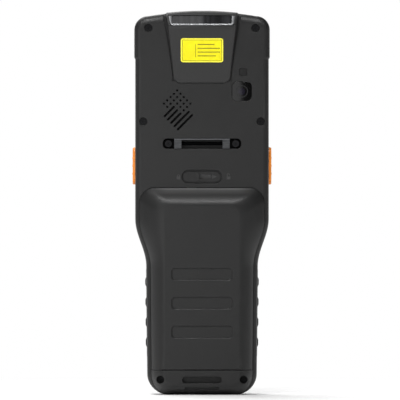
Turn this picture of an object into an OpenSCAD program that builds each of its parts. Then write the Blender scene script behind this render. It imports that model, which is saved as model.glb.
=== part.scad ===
// Handheld barcode data terminal, standing upright on its foot.
// +Z runs up the length, the back with the battery faces -Y, the screen faces +Y.
// The origin is on the floor, under the middle of the terminal.

/* [Body] */
// Overall length, from the foot to the top of the scanner hood
body_len = 192; // [188:1:198]
// Width across the head
head_w = 67; // [66:1:72]
// Width across the grip
grip_w = 56; // [55:1:60]
// Depth of the front housing, from its face to the parting plane
front_d = 10; // [9.5:0.5:12]
// Depth of the rear housing at the head
rear_d = 13; // [12.5:0.5:15]
// Length over which the grip widens to the head
shoulder_l = 24; // [20:1:28]
// Distance from the battery seam down to the full width of the head
shoulder_drop = 15.45; // [13:0.05:18]
// How much each side of the grip narrows towards the foot
grip_taper = 0.5; // [0:0.1:0.8]
// Radius of the foot corners
foot_r = 10.5; // [9:0.5:12]
// Radius of the top corners
top_r = 7; // [6.5:0.5:9]
// Radius of the shallow arch across the top end
crown_r = 160; // [120:5:260]
// How far the side bumpers start below the top end
bumper_drop = 24.5; // [22:0.5:28]
// How far the side bumpers stand out
bumper_t = 0.5; // [0.2:0.1:0.8]
// Height of the slanted step under each bumper
bumper_step = 1.2; // [0.6:0.2:2]

/* [Walls] */
// Side wall
wall = 1.8; // [1.6:0.1:2]
// Back wall of the head
back_wall = 2.2; // [2.1:0.1:2.6]
// Wall of the face
front_wall = 2.1; // [2:0.1:2.4]
// Wall of the top end
top_wall = 2.8; // [2.4:0.1:3.2]
// Wall of the foot
foot_wall = 2.6; // [2.4:0.1:3]
// Depth of the rounded long edges
edge_d = 3; // [2:0.25:3.5]
// Width of the rounded long edges
edge_w = 3; // [2.5:0.25:3.5]
// Width of the rounded edge along the top end
top_edge_w = 5; // [4:0.25:5.5]
// Width of the gasket between the housings
gasket_w = 0.8; // [0.6:0.1:1]
// Thickness of the gasket between the housings
gasket_t = 0.8; // [0.6:0.1:1]

/* [Battery] */
// Distance from the top end to the seam over the battery cover
bay_drop = 88.55; // [87:0.05:91]
// Height of the seam under the battery cover
bay_low = 12.2; // [12:0.1:13]
// Gap round the battery cover
seam_gap = 0.25; // [0.2:0.05:0.4]
// Rim of housing left beside the battery cover
seam_in = 2.2; // [2:0.1:2.6]
// How far the battery cover rises over the back
pack_rise = 7; // [6:0.5:8]
// Width of the flat back of the battery cover
flat_w = 37; // [34:1:39]
// Corner radius of the flat back of the battery cover
flat_r = 5; // [4:0.5:6]
// Length of the ramp above the flat back
ramp_up = 9.4; // [8.4:0.2:10]
// Length of the ramp at the foot
ramp_low = 5; // [4:0.5:5.5]
// Corner radius of the battery cover at its top seam
pack_r = 7.5; // [7:0.5:9]
// Wall of the battery cover
cover_t = 1.8; // [1.6:0.1:2]
// Depth of the cover's rim inside the bay
rim_d = 3.2; // [3:0.1:3.6]
// Width of the battery case
case_w = 44.8; // [43:0.2:45]
// Height at which the battery case starts
case_low = 16.4; // [16:0.2:18]
// Gap between the battery case and the bay
case_gap = 0.4; // [0.3:0.05:0.5]
// Thickness of the bay floor
floor_t = 1.8; // [1.6:0.1:2]
// Gap between the bay floor and the housing's parting plane
floor_up = 2.1; // [2:0.1:2.4]
// Wall of the battery case
case_t = 1.35; // [1.2:0.05:1.5]
// Thickness of the cell
cell_t = 11.6; // [10:0.2:11.8]
// Width of the cell
cell_w = 37; // [34:0.5:38]
// Distance from the case's lower end to the cell
cell_foot = 3; // [2:0.1:5]
// Distance from the flat back's upper end down to the cell
cell_head = 0.2; // [0:0.1:2]
// Radius of the round hinge edge
hinge_r = 1; // [0.8:0.1:1.2]
// Distance of each hinge hook from the middle
hook_x = 12.2; // [11.8:0.1:13]
// Width of a hinge hook
hook_w = 4; // [3:0.5:4.5]
// Reach of a hinge hook below the hinge axis
hook_l = 2.5; // [2:0.1:2.6]
// Thickness of a hinge hook
hook_t = 1.2; // [1:0.1:1.4]
// Half length of the finger bars
bar_half = 15; // [13:0.5:16]
// Height of each finger bar
bar_h = 5.8; // [4.5:0.1:6.5]
// Depth of each finger bar
bar_d = 0.8; // [0.5:0.1:0.9]
// Corner radius of the finger bars
bar_r = 1.6; // [1:0.1:2]
// Slope of a finger bar's walls, as run over depth
bar_slope = 0.5; // [0.2:0.1:0.9]
// Height of the lowest finger bar
bar_z = 31.4; // [28:0.2:34]
// Spacing of the finger bars
bar_pitch = 14.45; // [12:0.05:15]

/* [Latch] */
// Height of the latch over the battery seam
latch_up = 5.45; // [5.3:0.1:6.5]
// Length of the latch recess
latch_len = 20; // [19:0.5:22]
// Width of the latch recess
latch_wide = 6.7; // [6:0.1:7]
// Depth of the groove round the latch
latch_deep = 1.2; // [1:0.1:1.3]
// Width of the groove round the latch
latch_groove = 0.9; // [0.7:0.1:1]
// Depth of the floor that the knob slides on
latch_seat = 0.4; // [0.3:0.05:0.6]
// Travel of the latch
latch_travel = 8; // [7:0.5:9]
// Length of the latch knob
knob_l = 8; // [7:0.5:8.5]
// Middle of the knob when the battery is free
knob_x = -5.2; // [-5.3:0.1:-4.8]
// Thickness of the latch bolt
bolt_t = 1.4; // [1.2:0.1:1.6]
// Width of the bolt's tongue
tongue_w = 5; // [4:0.5:5.5]
// Reach of the tongue below the seam
tongue_l = 2.5; // [2.2:0.1:2.8]
// How far the bolt's plate laps over each end of the slot
plate_lap = 0.5; // [0.3:0.1:1]
// Thickness of the rails that guide the bolt
rail_t = 0.8; // [0.6:0.1:1]

/* [Strap anchors] */
// Height of the upper anchor over the latch
anchor_up = 16.5; // [15.5:0.5:18]
// Length of the upper anchor's recess
anchor_len = 39; // [38:0.5:41]
// Width of the upper anchor's recess
anchor_wide = 5.1; // [4.8:0.1:5.6]
// Depth of the strap space in the upper anchor
anchor_deep = 5.5; // [5:0.1:6]
// Depth of the screw pockets in the upper anchor
anchor_seat = 1.8; // [1.6:0.1:2]
// Corner radius of the upper anchor's recess
anchor_r = 2; // [1:0.1:2.4]
// Width of the strip that joins the posts
strip_w = 0.6; // [0.4:0.1:0.8]
// Depth of the strip that joins the posts
strip_d = 1.2; // [0.8:0.1:1.6]
// Distance from the middle to each post's inner face
post_in = 10.3; // [9:0.1:10.6]
// Width of each post
post_w = 3.5; // [3:0.1:3.6]
// Thickness of the bracket's tabs
tab_t = 0.8; // [0.6:0.1:0.9]
// Diameter of the strap pin
strap_pin_d = 1.6; // [1.4:0.1:1.8]
// Running gap between the strap pin and its holes
pin_gap = 0.05; // [0.03:0.01:0.1]
// Distance from the middle to each anchor screw
anchor_screw_x = 16.8; // [16.5:0.1:17.1]
// Length of the lower strap slot
slot_len = 19.6; // [17:0.2:20]
// Lower edge of the lower strap slot
slot_low = 5.8; // [5.6:0.1:6]
// Upper edge of the lower strap slot
slot_top = 9; // [8.4:0.1:9.2]
// Depth of the lower strap slot
slot_deep = 4.6; // [4:0.1:5]
// Thickness of the strap bar in the foot
foot_bar_t = 2; // [1.8:0.1:2.4]
// Height of the strap's way out under the bar
slot_exit = 1.2; // [1:0.1:1.4]

/* [Scanner hood] */
// Distance from the top end to the hood's lower edge
hood_drop = 36.5; // [34:0.5:40]
// Distance from the top end to the hood's crest
crest_drop = 7.4; // [7:0.2:8.4]
// Half width of the hood at its lower edge
hood_low_w = 14; // [12:0.5:15]
// Half width of the hood at the top end
hood_top_w = 18.5; // [18:0.25:19.5]
// Rise of the hood at its lower edge
hood_low_h = 0.5; // [0.4:0.1:1.2]
// Rise of the hood at its crest
hood_crest_h = 5; // [4.6:0.1:5.6]
// Corner radius of the hood's lower edge
hood_r = 4; // [3:0.5:5]
// Height of the hood over the arch of the top end
hood_lip = 0.4; // [0.2:0.1:0.6]
// Depth of the hood's seat in the back
hood_seat = 1; // [0.8:0.1:1.1]
// Width of the groove beside the hood
groove_w = 1.5; // [1:0.1:1.6]
// Depth of the groove beside the hood
groove_d = 1.6; // [1.2:0.1:1.7]
// Half width of the scan window
scan_half = 14.9; // [13:0.1:15]
// Thickness of the scan window
scan_t = 1; // [0.8:0.1:1.2]
// Width of the bezel beside the scan window
bezel_w = 1.2; // [1:0.1:1.6]
// Thickness of the bezel
bezel_t = 0.9; // [0.8:0.1:1.2]
// Width of the scan engine
engine_w = 21; // [18:0.5:22]
// Height of the scan engine
engine_h = 7; // [6:0.5:7.5]
// Depth of the scan engine
engine_d = 8.5; // [7:0.5:9]

/* [Camera, flash and speaker] */
// Side offset of the camera window
camera_x = 19.9; // [19:0.1:20.5]
// Distance from the top end to the camera window's middle
camera_drop = 40.5; // [39:0.5:43]
// Width of the camera window
camera_w = 9.8; // [9:0.2:10.6]
// Corner radius of the camera window
camera_r = 2.5; // [2:0.1:3]
// Diameter of the camera's lens barrel
lens_d = 5.4; // [5:0.1:5.8]
// Side offset of the flash window
flash_x = 20.5; // [19.8:0.1:21]
// Distance from the top end to the flash window
flash_drop = 30.8; // [30:0.2:31.4]
// Width of the flash window
flash_w = 3.6; // [3:0.1:4]
// Side offset of the speaker's topmost hole
grille_x = -12.4; // [-13:0.1:-12]
// Distance from the top end to the speaker's topmost hole
grille_drop = 40; // [39:0.5:42]
// Spacing of the speaker holes
grille_pitch = 2.33; // [2.2:0.01:2.5]
// Diameter of a speaker hole
grille_d = 1.1; // [0.8:0.1:1.4]
// Thickness of the speaker mesh
mesh_t = 0.3; // [0.2:0.05:0.5]
// Depth of the speaker
speaker_d = 3.5; // [3:0.1:4]

/* [Side buttons and grips] */
// Height of the side buttons over the battery seam
button_up = 10.9; // [10.6:0.1:12]
// Length of a side button
button_l = 18.7; // [16:0.1:20]
// Width of a side button
button_w = 7.6; // [7:0.1:8]
// Corner radius of a side button
button_r = 3; // [2:0.1:3.4]
// How far a side button stands out
button_out = 1.2; // [1:0.1:1.4]
// Height of the ribs on a side button
rib_h = 0.45; // [0.3:0.05:0.6]
// Spacing of the ribs on a side button
rib_pitch = 3.9; // [3.4:0.1:4.2]
// Travel of a side button
button_travel = 0.8; // [0.5:0.1:0.9]
// Thickness of a side button's flange
flange_t = 0.8; // [0.6:0.1:1]
// Gap round every key and button
key_gap = 0.25; // [0.2:0.05:0.35]
// Lower end of the side grips
side_low = 19; // [17:0.5:22]
// Distance from the shoulder down to the side grips
side_drop = 1; // [0.5:0.5:4]
// Distance from the grips' upper end to the first bump
bump_drop = 6.7; // [5:0.1:8]
// Width of the side grips
side_w = 8; // [7:0.2:8.6]
// Depth of the side grips in the wall
side_t = 0.8; // [0.6:0.05:0.9]
// Height of the bumps on the side grips
bump_h = 0.5; // [0.3:0.1:0.7]
// Length of a bump
bump_l = 5; // [4:0.5:6]
// Spacing of the bumps
bump_pitch = 10.05; // [9:0.05:10.5]

/* [Face] */
// Distance from the side of the head to the display glass
glass_side = 4.5; // [4.5:0.25:6.5]
// Distance from the keypad basin to the display glass
glass_up = 4.5; // [4:0.25:8]
// Distance from the top end to the display glass
glass_drop = 8.5; // [8.4:0.1:10]
// Thickness of the display glass
glass_t = 1.2; // [1:0.05:1.3]
// Corner radius of the display glass
glass_r = 4; // [3:0.5:5]
// Black border of the glass beside the display
screen_side = 4; // [4:0.25:6]
// Black border of the glass above and below the display
screen_edge = 4.5; // [4:0.25:7]
// Thickness of the display module
screen_t = 3; // [2.5:0.1:3.4]
// Depth of the keypad basin
basin_d = 0.9; // [0.7:0.05:1]
// Distance from the side of the grip to the keypad basin
basin_side = 4; // [3.5:0.25:5]
// Corner radius of the keypad basin
basin_r = 5; // [3:0.5:6]
// Lower end of the keypad basin
basin_low = 18; // [16:0.5:19]
// Upper end of the keypad basin
basin_top = 87; // [86.5:0.5:88]
// Distance from the basin's sides to the outer keys
key_side = 2.7; // [2:0.1:3.5]
// Distance from the basin's ends to the outer keys
key_end = 4.5; // [4:0.1:6]
// Distance between two keys in a row
key_apart = 2.4; // [2.2:0.1:3.2]
// Distance between two rows of keys
row_apart = 3.6; // [3:0.1:4.2]
// Corner radius of a key
key_r = 2.2; // [1.5:0.1:2.8]
// Travel of a key
key_travel = 0.6; // [0.4:0.05:0.65]
// Radius of a key's crowned top
key_crown = 40; // [30:1:80]
// How much wider the scan key is than the others
scan_key_more = 3.4; // [2:0.1:4]

/* [Boards and screws] */
// Thickness of the boards
board_t = 1.2; // [1:0.1:1.4]
// Distance from the side of the head to the main board
board_side = 5.5; // [5:0.25:7]
// Gap from the main board to the parting plane
board_back = 0.4; // [0.3:0.1:0.8]
// Distance from the head's lower wall to the main board
board_foot = 1.75; // [1:0.25:4]
// Distance from the top end to the main board
board_drop = 17; // [16:0.5:19]
// Depth of the key board behind the face
key_board_in = 5.4; // [5.3:0.1:5.6]
// Head diameter of a case screw
screw_head = 3.4; // [3:0.1:3.6]
// Shank diameter of a case screw
screw_d = 1.8; // [1.6:0.1:2]
// Diameter of a case screw pocket
pocket_d = 4; // [3.8:0.1:4.2]
// Diameter of a case screw boss
boss_d = 6; // [5.6:0.1:6.4]
// Distance from the side of the head to the top case screws
top_screw_side = 6.75; // [6.5:0.25:7.5]
// Distance from the top end to the top case screws
top_screw_drop = 8.7; // [8.4:0.1:9.6]
// Distance from the side of the head to the middle case screws
mid_screw_side = 4.1; // [3.9:0.1:4.5]
// Height of the middle case screws over the upper anchor
mid_screw_up = 11.1; // [10:0.1:12]
// Distance from the side of the foot to the foot case screws
foot_screw_side = 6.7; // [6.5:0.1:7.5]
// Height of the foot case screws
foot_screw_z = 7.6; // [7.4:0.1:7.9]
// Height of the charging port
port_h = 3.2; // [3:0.1:3.4]
// Width of the charging port
port_w = 9; // [8.4:0.1:9.4]
// Half width of the port cover
flap_half = 7.5; // [7:0.5:9]
// Thickness of the port cover
flap_t = 0.9; // [0.8:0.1:1]

/* [Hidden] */
$fn = 48;
// Thin fit, running gap and overlap that every module shares
skin = 0.05;
slide_gap = 0.2;
over = 0.5;

// Depths, from the face to the back of the battery cover
y_face = (front_d + rear_d + pack_rise) / 2;
y_part = y_face - front_d;
y_back = y_part - rear_d;
y_pack = y_back - pack_rise;
y_inner = y_back + back_wall;
y_ceiling = y_face - front_wall;
y_basin = y_face - basin_d;
y_floor = y_part - floor_up;
y_bay = y_floor - floor_t;
y_rim = y_back + rim_d;
y_board = y_part - board_back - board_t;
y_mat = y_face - key_board_in;
y_bolt = y_inner + slide_gap + bolt_t;

// Heights that hang on the top end
bay_top = body_len - bay_drop;
hood_z = body_len - hood_drop;
crest_z = body_len - crest_drop;
camera_z = body_len - camera_drop;
flash_z = body_len - flash_drop;
grille_z = body_len - grille_drop;
glass_top = body_len - glass_drop;
board_top = body_len - board_drop;

// Heights that hang on the battery seam
shoulder_hi = bay_top - shoulder_drop;
shoulder_lo = shoulder_hi - shoulder_l;
latch_z = bay_top + latch_up;
anchor_z = latch_z + anchor_up;
button_z = bay_top + button_up;
head_low = bay_top + wall;
board_low = head_low + board_foot;
side_top = shoulder_lo - side_drop;
bump_top = side_top - bump_drop;

// Display glass between the keypad and the top end
glass_w = head_w - 2 * glass_side;
glass_l = glass_top - basin_top - glass_up;
glass_z = glass_top - glass_l / 2;
screen_w = glass_w - 2 * screen_side;
screen_l = glass_l - 2 * screen_edge;
screen_rim = 1.2;

// Keys, three across and six rows, spread over the basin
basin_w = grip_w - 2 * basin_side;
key_w = (basin_w - 2 * key_side - 2 * key_apart) / 3;
key_h = (basin_top - basin_low - 2 * key_end - 5 * row_apart) / 6;
key_col = key_w + key_apart;
key_row = key_h + row_apart;
row_low = basin_low + key_end + key_h / 2;
key_flange_t = 0.7;
key_rim = 0.7;
key_stem_d = 3;
dome_d = 5;
mat_t = 0.3;
key_board_w = basin_w + 1;
key_board_l = basin_top - basin_low + 3;

// Hinge axis of the battery, in the round lower edge of its cover, and the room of its hooks
ramp_lift = 0.3;
ramp_lean = 0.1;
ramp_reach = 0.6;
hinge_y = y_pack + hinge_r;
pack_low = bay_low + seam_gap;
hinge_z = pack_low + hinge_r;
pack_swing = bay_top - hinge_z - seam_gap + skin;
hook_y = hinge_r + 0.4;
hook_swing = sqrt(pow(hook_y + hook_t, 2) + hook_l * hook_l) + slide_gap;

// Battery case: its flange in the cover, its cell and its pads
case_flange_t = 1;
cell_z = case_low + cell_foot;
notch_gap = 0.6;
notch_z = bay_top - tongue_l - notch_gap - over;
cell_l = bay_top - ramp_up - cell_head - cell_z;
pad_pitch = 3.2;
pad_w = 2;
pad_h = 3;
pad_t = 0.3;

// Contact block and card socket in the bay's floor
contact_z = case_low + 5;
contact_w = 14;
contact_h = 4;
sim_x = -10;
sim_z = 66;
sim_w = 15;
sim_h = 17;

// Latch: its knob with grooves for the thumb, its stem in the slot, and the bolt's plate,
// which hides the slot in both positions
knob_w = latch_wide - 2 * latch_groove;
knob_proud = 0.4;
knob_line = 0.2;
knob_r = knob_w / 2 - 2 * skin;
knob_groove = 1.6;
stem_l = 3;
stem_w = 1.8;
plate_half = stem_l / 2 + key_gap + latch_travel + plate_lap;

// Strap's way out of the foot, and the room inside the foot
exit_z = slot_low - 3.2;
foot_room = 14;
foot_line = 0.5;
// Depth of the strap pin in the upper anchor
strap_pin_y = y_back + 1.7;

// Hood: its end under the back plane, its seat, and the steps of its rounded edge
hood_end_h = 1.5;
hood_dip = 3;
hood_dip_slope = 0.62;
// Each step: share of the hood's depth, and how far the outline has drawn in
hood_edge = [[0, 0], [0.55, 0], [0.75, 0.15], [0.9, 0.5], [1, 1.1]];

// Scan window on the hood's end slope, its bezel and the engine behind it
scan_len = 5.7;
scan_r = 1.2;
scan_ledge = 1.5;
scan_sunk = 0.35;
slope_at = 0.38;
bezel_low = 0.75;
bezel_high = 0.6;
bezel_flare = 0.5;
bezel_proud = 0.15;
engine_side = 1;
engine_room_d = 4.2;
engine_low = crest_z - 9;
engine_y = y_back + hood_seat - engine_room_d + slide_gap;
engine_z = crest_z - engine_h / 2 - 0.6;
// Lenses of the engine: place across and diameter
engine_lenses = [[-5, 4.4], [4, 3]];

// Camera, flash and speaker
window_t = 0.8;
camera_body = 8.4;
camera_body_d = 3;
flash_r = 0.8;
flash_rim = 0.7;
grille_end = 5.8;
speaker_z = grille_z - 4.1 * grille_pitch;
speaker_w = 17;
magnet_d = 10;

// Side buttons: their depth, the flange inside the wall and the crown of the cap
button_y = y_part - 5.1;
button_crown = 45;
flange_rim = 0.8;
flange_x = head_w / 2 - wall - slide_gap - flange_t;
// Switch behind each side button
switch_l = 6;
switch_d = 3.4;
switch_pin = 2;

// Earpiece, light and microphone in the face
ear_z = glass_top + 2.3;
ear_l = 12;
ear_h = 1.2;
ear_rim = 1;
ear_d = 2.4;
light_x = -20;
light_d = 2;
light_rim = 0.5;
mic_z = 12;
mic_d = 1.2;

// Port cover in the foot, its hinge pin and the port behind it
flap_z = 0.3;
flap_y0 = y_part + 0.8;
flap_y1 = y_face - edge_w - 0.3;
flap_axis_y = flap_y1 - 0.75;
flap_axis_z = flap_z + flap_t / 2 + 0.1;
flap_pin_d = 0.7;
flap_pin_l = 1;
port_y = (flap_y0 + flap_y1) / 2 - 0.6;
port_top = 9;
port_wall = 0.4;

// Screws: the case screws' seat, every head's thickness and drive, and each screw's reach
screw_seat = 2.5;
head_t = 1.1;
drive_d = 0.8;
drive_w = 0.45;
strap_screw_l = 3.4;
board_screw_d = 1.6;
board_head = 3;
board_screw_l = 6;
key_screw_l = 3.4;
board_post_d = 4.4;
top_screw_x = head_w / 2 - top_screw_side;
mid_screw_x = head_w / 2 - mid_screw_side;
board_half = head_w / 2 - board_side;
// Places of the main board's screws, and of the key board's, as x and z
board_screws_at = [[board_half - 4, anchor_z + 7], [board_half - 4, board_top - 3]];
key_posts = [[basin_w / 2 - 1.6, basin_low + 0.4], [basin_w / 2 - 1.6, basin_top - 0.6]];
// Shield cans on the main board: left, right, lower and upper edge, and height
cans = [[8 - board_half, 2, anchor_z + 14, board_top - 10, 1.8],
    [6, board_half - 10, anchor_z + 18, anchor_z + 32, 1.5]];
motor_d = 5;
motor_l = 10;
motor_x = 8;

// Points in each corner and shoulder of an outline, in the arch, and in each rounding
corner_n = 7;
shoulder_n = 10;
crown_n = 3;
bulge_n = 11;
edge_n = 5;
side_n = 88;

// Blend from a to b
function mix(a, b, t) = a + (b - a) * t;
// Smooth step from 0 to 1
function swell(t) = (1 - cos(180 * t)) / 2;
// Half width of the housing at height z
function side_half(z) =
    z < shoulder_lo ? grip_w / 2 - grip_taper * (shoulder_lo - z) / (shoulder_lo - foot_r)
    : z < shoulder_hi ? mix(grip_w, head_w, swell((z - shoulder_lo) / (shoulder_hi - shoulder_lo))) / 2
    : head_w / 2 + bumper_t * min(1, max(0, (z - body_len + bumper_drop) / bumper_step));
// Height of the arched top end at x
function crown(x) = body_len - hood_lip - x * x / (2 * crown_r);

foot_half = side_half(foot_r);
foot_screw_x = foot_half - foot_screw_side;
corner_x = head_w / 2 + bumper_t - top_r;
corner_z = crown(corner_x) - top_r;
side_levels = concat(
    [for (i = [0:shoulder_n]) mix(shoulder_lo, shoulder_hi, i / shoulder_n)],
    [body_len - bumper_drop, body_len - bumper_drop + bumper_step]);

// Right half of the housing's outline, drawn in by s at the sides, u at the top, b at the foot
function body_half(s, u, b) = concat(
    [for (i = [0:corner_n]) let (a = 90 * i / corner_n)
        [foot_half - foot_r + (foot_r - s) * sin(a), foot_r - (foot_r - b) * cos(a)]],
    [for (z = side_levels) [side_half(z) - s, z]],
    [for (i = [0:corner_n]) let (a = 90 * i / corner_n)
        [corner_x + (top_r - s) * cos(a), corner_z + (top_r - u) * sin(a)]],
    [for (i = [crown_n - 1:-1:0]) let (x = corner_x * (i + 0.5) / crown_n) [x, crown(x) - u]]);

// Share from 0 to 1 along a bend whose two inner control points stand at a and b
function bend(t, a, b) = 3 * a * t * pow(1 - t, 2) + 3 * b * t * t * (1 - t) + pow(t, 3);

// Right half of the battery outline: p runs from the seam (0) to the flat back (1), e draws it in
function pack_half(p, e) = let (
    low_x = mix(foot_half - foot_r, flat_w / 2 - flat_r, p),
    low_z = mix(foot_r, ramp_low + flat_r, p),
    low_rx = mix(foot_r - seam_in, flat_r, p) - e,
    low_rz = mix(foot_r - seam_gap * 2, flat_r, p) - e,
    top_x = mix(side_half(bay_top) - seam_in - pack_r, flat_w / 2 - flat_r, p),
    top_z = mix(bay_top - seam_gap - pack_r, bay_top - ramp_up - flat_r, p),
    top_rr = mix(pack_r, flat_r, p) - e)
    concat(
        [for (i = [0:corner_n]) let (a = 90 * i / corner_n)
            [low_x + low_rx * sin(a), low_z - low_rz * cos(a)]],
        [for (i = [0:shoulder_n]) let (z = mix(shoulder_lo, shoulder_hi, i / shoulder_n))
            [mix(side_half(z) - seam_in, flat_w / 2, p) - e,
             mix(z, low_z + (z - foot_r) * (top_z - low_z) / (bay_top - seam_gap - pack_r - foot_r), p)]],
        [for (i = [0:corner_n]) let (a = 90 * i / corner_n)
            [top_x + top_rr * cos(a), top_z + top_rr * sin(a)]]);

// Right half of the hood's outline, drawn in by s
function hood_half(s) = let (
    side = function (z) mix(hood_low_w, hood_top_w, (z - hood_z) / hood_drop) - s,
    levels = [crest_z, (crest_z + body_len) / 2])
    concat(
        [for (i = [0:corner_n]) let (a = 90 * i / corner_n)
            [side(hood_z + hood_r) - (hood_r - s) * (1 - sin(a)), hood_z + hood_r - (hood_r - s) * cos(a)]],
        [for (z = levels) [side(z), z]],
        [for (i = [2:-1:0]) let (x = side(body_len) * (i + 0.5) / 2.5) [x, crown(x) + hood_lip - s]]);
// Depth of the hood's seat and of its outer face at height z
function hood_base(z) = y_back + hood_seat + max(0, z - crest_z - hood_dip) * hood_dip_slope;
function hood_face(z) = y_back - (z < crest_z
    ? mix(hood_low_h, hood_crest_h, (z - hood_z) / (crest_z - hood_z))
    : mix(hood_crest_h, -hood_end_h, (z - crest_z) / crest_drop));

// A half outline with its mirror image, as one closed outline
function both(half) = concat(half, [for (i = [len(half) - 1:-1:0]) [-half[i][0], half[i][1]]]);
// An outline laid in the plane at depth y
function at(y, outline) = [for (p = outline) [p[0], y, p[1]]];

// Solid skin through a stack of symmetric rings, the first one nearest the face
module loft(rings) {
    n = len(rings[0]);
    last = n * (len(rings) - 1);
    cap = [for (i = [0:n / 2 - 2]) each [[i, i + 1, n - 2 - i], [i, n - 2 - i, n - 1 - i]]];
    back = [for (f = cap) [f[2] + last, f[1] + last, f[0] + last]];
    side = [for (k = [0:len(rings) - 2], i = [0:n - 1])
        let (j = (i + 1) % n, a = k * n)
        each [[a + i, a + n + i, a + n + j], [a + i, a + n + j, a + j]]];
    polyhedron([for (r = rings) each r], concat(cap, back, side));
}

// Flat shape drawn in x and z, made solid from depth y0 to y1
module slab(y0, y1) {
    translate([0, y1, 0]) rotate([90, 0, 0]) linear_extrude(y1 - y0) children();
}

// Flat shape drawn in y and z, made solid from x0 to x1
module side_slab(x0, x1) {
    translate([x0, 0, 0]) rotate([90, 0, 90]) linear_extrude(x1 - x0) children();
}

// Box from one corner to the other
module box(a, b) {
    translate(a) cube(b - a);
}

// Round bar along y
module bar_y(x, z, d, y0, y1) {
    translate([x, y1, z]) rotate([90, 0, 0]) cylinder(d = d, h = y1 - y0);
}

// Round bar along x
module bar_x(y, z, d, x0, x1) {
    translate([x0, y, z]) rotate([0, 90, 0]) cylinder(d = d, h = x1 - x0);
}

// Rectangle with round corners
module rounded(w, h, r) {
    square([w - 2 * r, h], center = true);
    square([w, h - 2 * r], center = true);
    for (x = [-1, 1], z = [-1, 1]) {
        translate([x * (w / 2 - r), z * (h / 2 - r)]) circle(r);
    }
}

// Both mirror halves of a shape
module pair() {
    children();
    mirror([1, 0, 0]) children();
}

// ---------- Housing ----------

// Rear housing's skin: straight walls, rounded edges and the flat back of the head
module rear_skin() {
    loft(concat(
        [at(y_part, both(body_half(0, 0, 0)))],
        [for (i = [0:edge_n]) let (a = 90 * i / edge_n, e = 1 - cos(a))
            at(y_back + edge_d * (1 - sin(a)), both(body_half(edge_w * e, top_edge_w * e, foot_line * e)))]));
}

// Battery cover's skin, drawn in by e, which also shapes the foot below its seam: it leaves the
// seam steeply, climbs a long ramp and turns over into the flat back
module pack_skin(y0, e) {
    loft(concat(
        [at(y0, both(pack_half(0, e)))],
        [for (i = [0:bulge_n]) let (t = i / bulge_n)
            at(y_back - (pack_rise - e) * bend(t, ramp_lift, 1),
                both(pack_half(bend(t, ramp_lean, ramp_reach), e)))]));
}

// Outline of the head's inside or, below the head, of the shallow space behind the bay
module inside(z0, z1) {
    intersection() {
        polygon(both(body_half(wall, top_wall, foot_wall)));
        translate([-head_w, z0]) square([2 * head_w, z1 - z0]);
    }
}

// Hood's body, from its seat in the back to its face
module hood_body() {
    loft([for (s = hood_edge)
        [for (p = both(hood_half(s[1]))) [p[0], mix(hood_base(p[1]), hood_face(p[1]), s[0]), p[1]]]]);
}

// Case screw places as x, z and the depth of the screw head's seat
case_screws_at = [
    [top_screw_x, body_len - top_screw_drop, y_back + screw_seat],
    [mid_screw_x, anchor_z + mid_screw_up, y_back + screw_seat],
    [foot_screw_x, foot_screw_z, y_back + screw_seat]];

// Everything that is cut from the rear housing for one case screw
module screw_pocket(s) {
    bar_y(s[0], s[1], pocket_d, y_pack - over, s[2]);
    bar_y(s[0], s[1], screw_d + 2 * skin, s[2] - over, y_part + over);
}

// Places along the speaker grille: a steps down to the left, b steps down to the right
function grille_at(a, b) = [
    grille_x + grille_pitch * (b - a) * cos(45),
    grille_z - grille_pitch * (b + a) * sin(45)];

// Round holes and slots of the speaker grille
module grille() {
    dots = concat([for (b = [0:1], a = [0:4]) [a, b]], [for (b = [2:4], a = [0:2]) [a, b]]);
    slots = concat([for (b = [2:4]) [3, b]], [for (b = [5:6]) [1.5, b]]);
    for (d = dots) translate(grille_at(d[0], d[1])) circle(d = grille_d, $fn = 24);
    for (s = slots) {
        translate(grille_at(s[0], s[1])) circle(d = grille_d, $fn = 24);
        translate(grille_at(grille_end, s[1])) circle(d = grille_d, $fn = 24);
        translate(grille_at(grille_end, s[1])) rotate(45)
            translate([0, -grille_d / 2]) square([grille_pitch * (grille_end - s[0]), grille_d]);
    }
}

// Rounded slot in x and z
module slot(w, h) {
    square([w - h, h], center = true);
    for (x = [-1, 1]) translate([x * (w - h) / 2, 0]) circle(d = h);
}

// Window through the side wall for one button, and room behind it for the flange and its travel
module button_hole() {
    rim = flange_rim + key_gap;
    translate([0, button_y, button_z]) {
        side_slab(head_w / 2 - wall - over, head_w / 2 + over)
            rounded(button_w + 2 * key_gap, button_l + 2 * key_gap, button_r + key_gap);
        side_slab(flange_x - button_travel - slide_gap, head_w / 2 - wall)
            rounded(button_w + 2 * rim, button_l + 2 * rim, button_r + rim);
    }
}

// Strap's way through the foot: in at the slot, behind the bar and out at the end
module strap_way() {
    translate([0, 0, (slot_low + slot_top) / 2]) slab(y_pack - over, y_pack + slot_deep)
        slot(slot_len, slot_top - slot_low);
    box([-slot_len / 2 + slot_exit, y_pack + foot_bar_t, exit_z],
        [slot_len / 2 - slot_exit, y_pack + slot_deep, (slot_low + slot_top) / 2]);
    box([-slot_len / 2 + slot_exit, y_pack - over, exit_z],
        [slot_len / 2 - slot_exit, y_pack + slot_deep, exit_z + slot_exit]);
}

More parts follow.
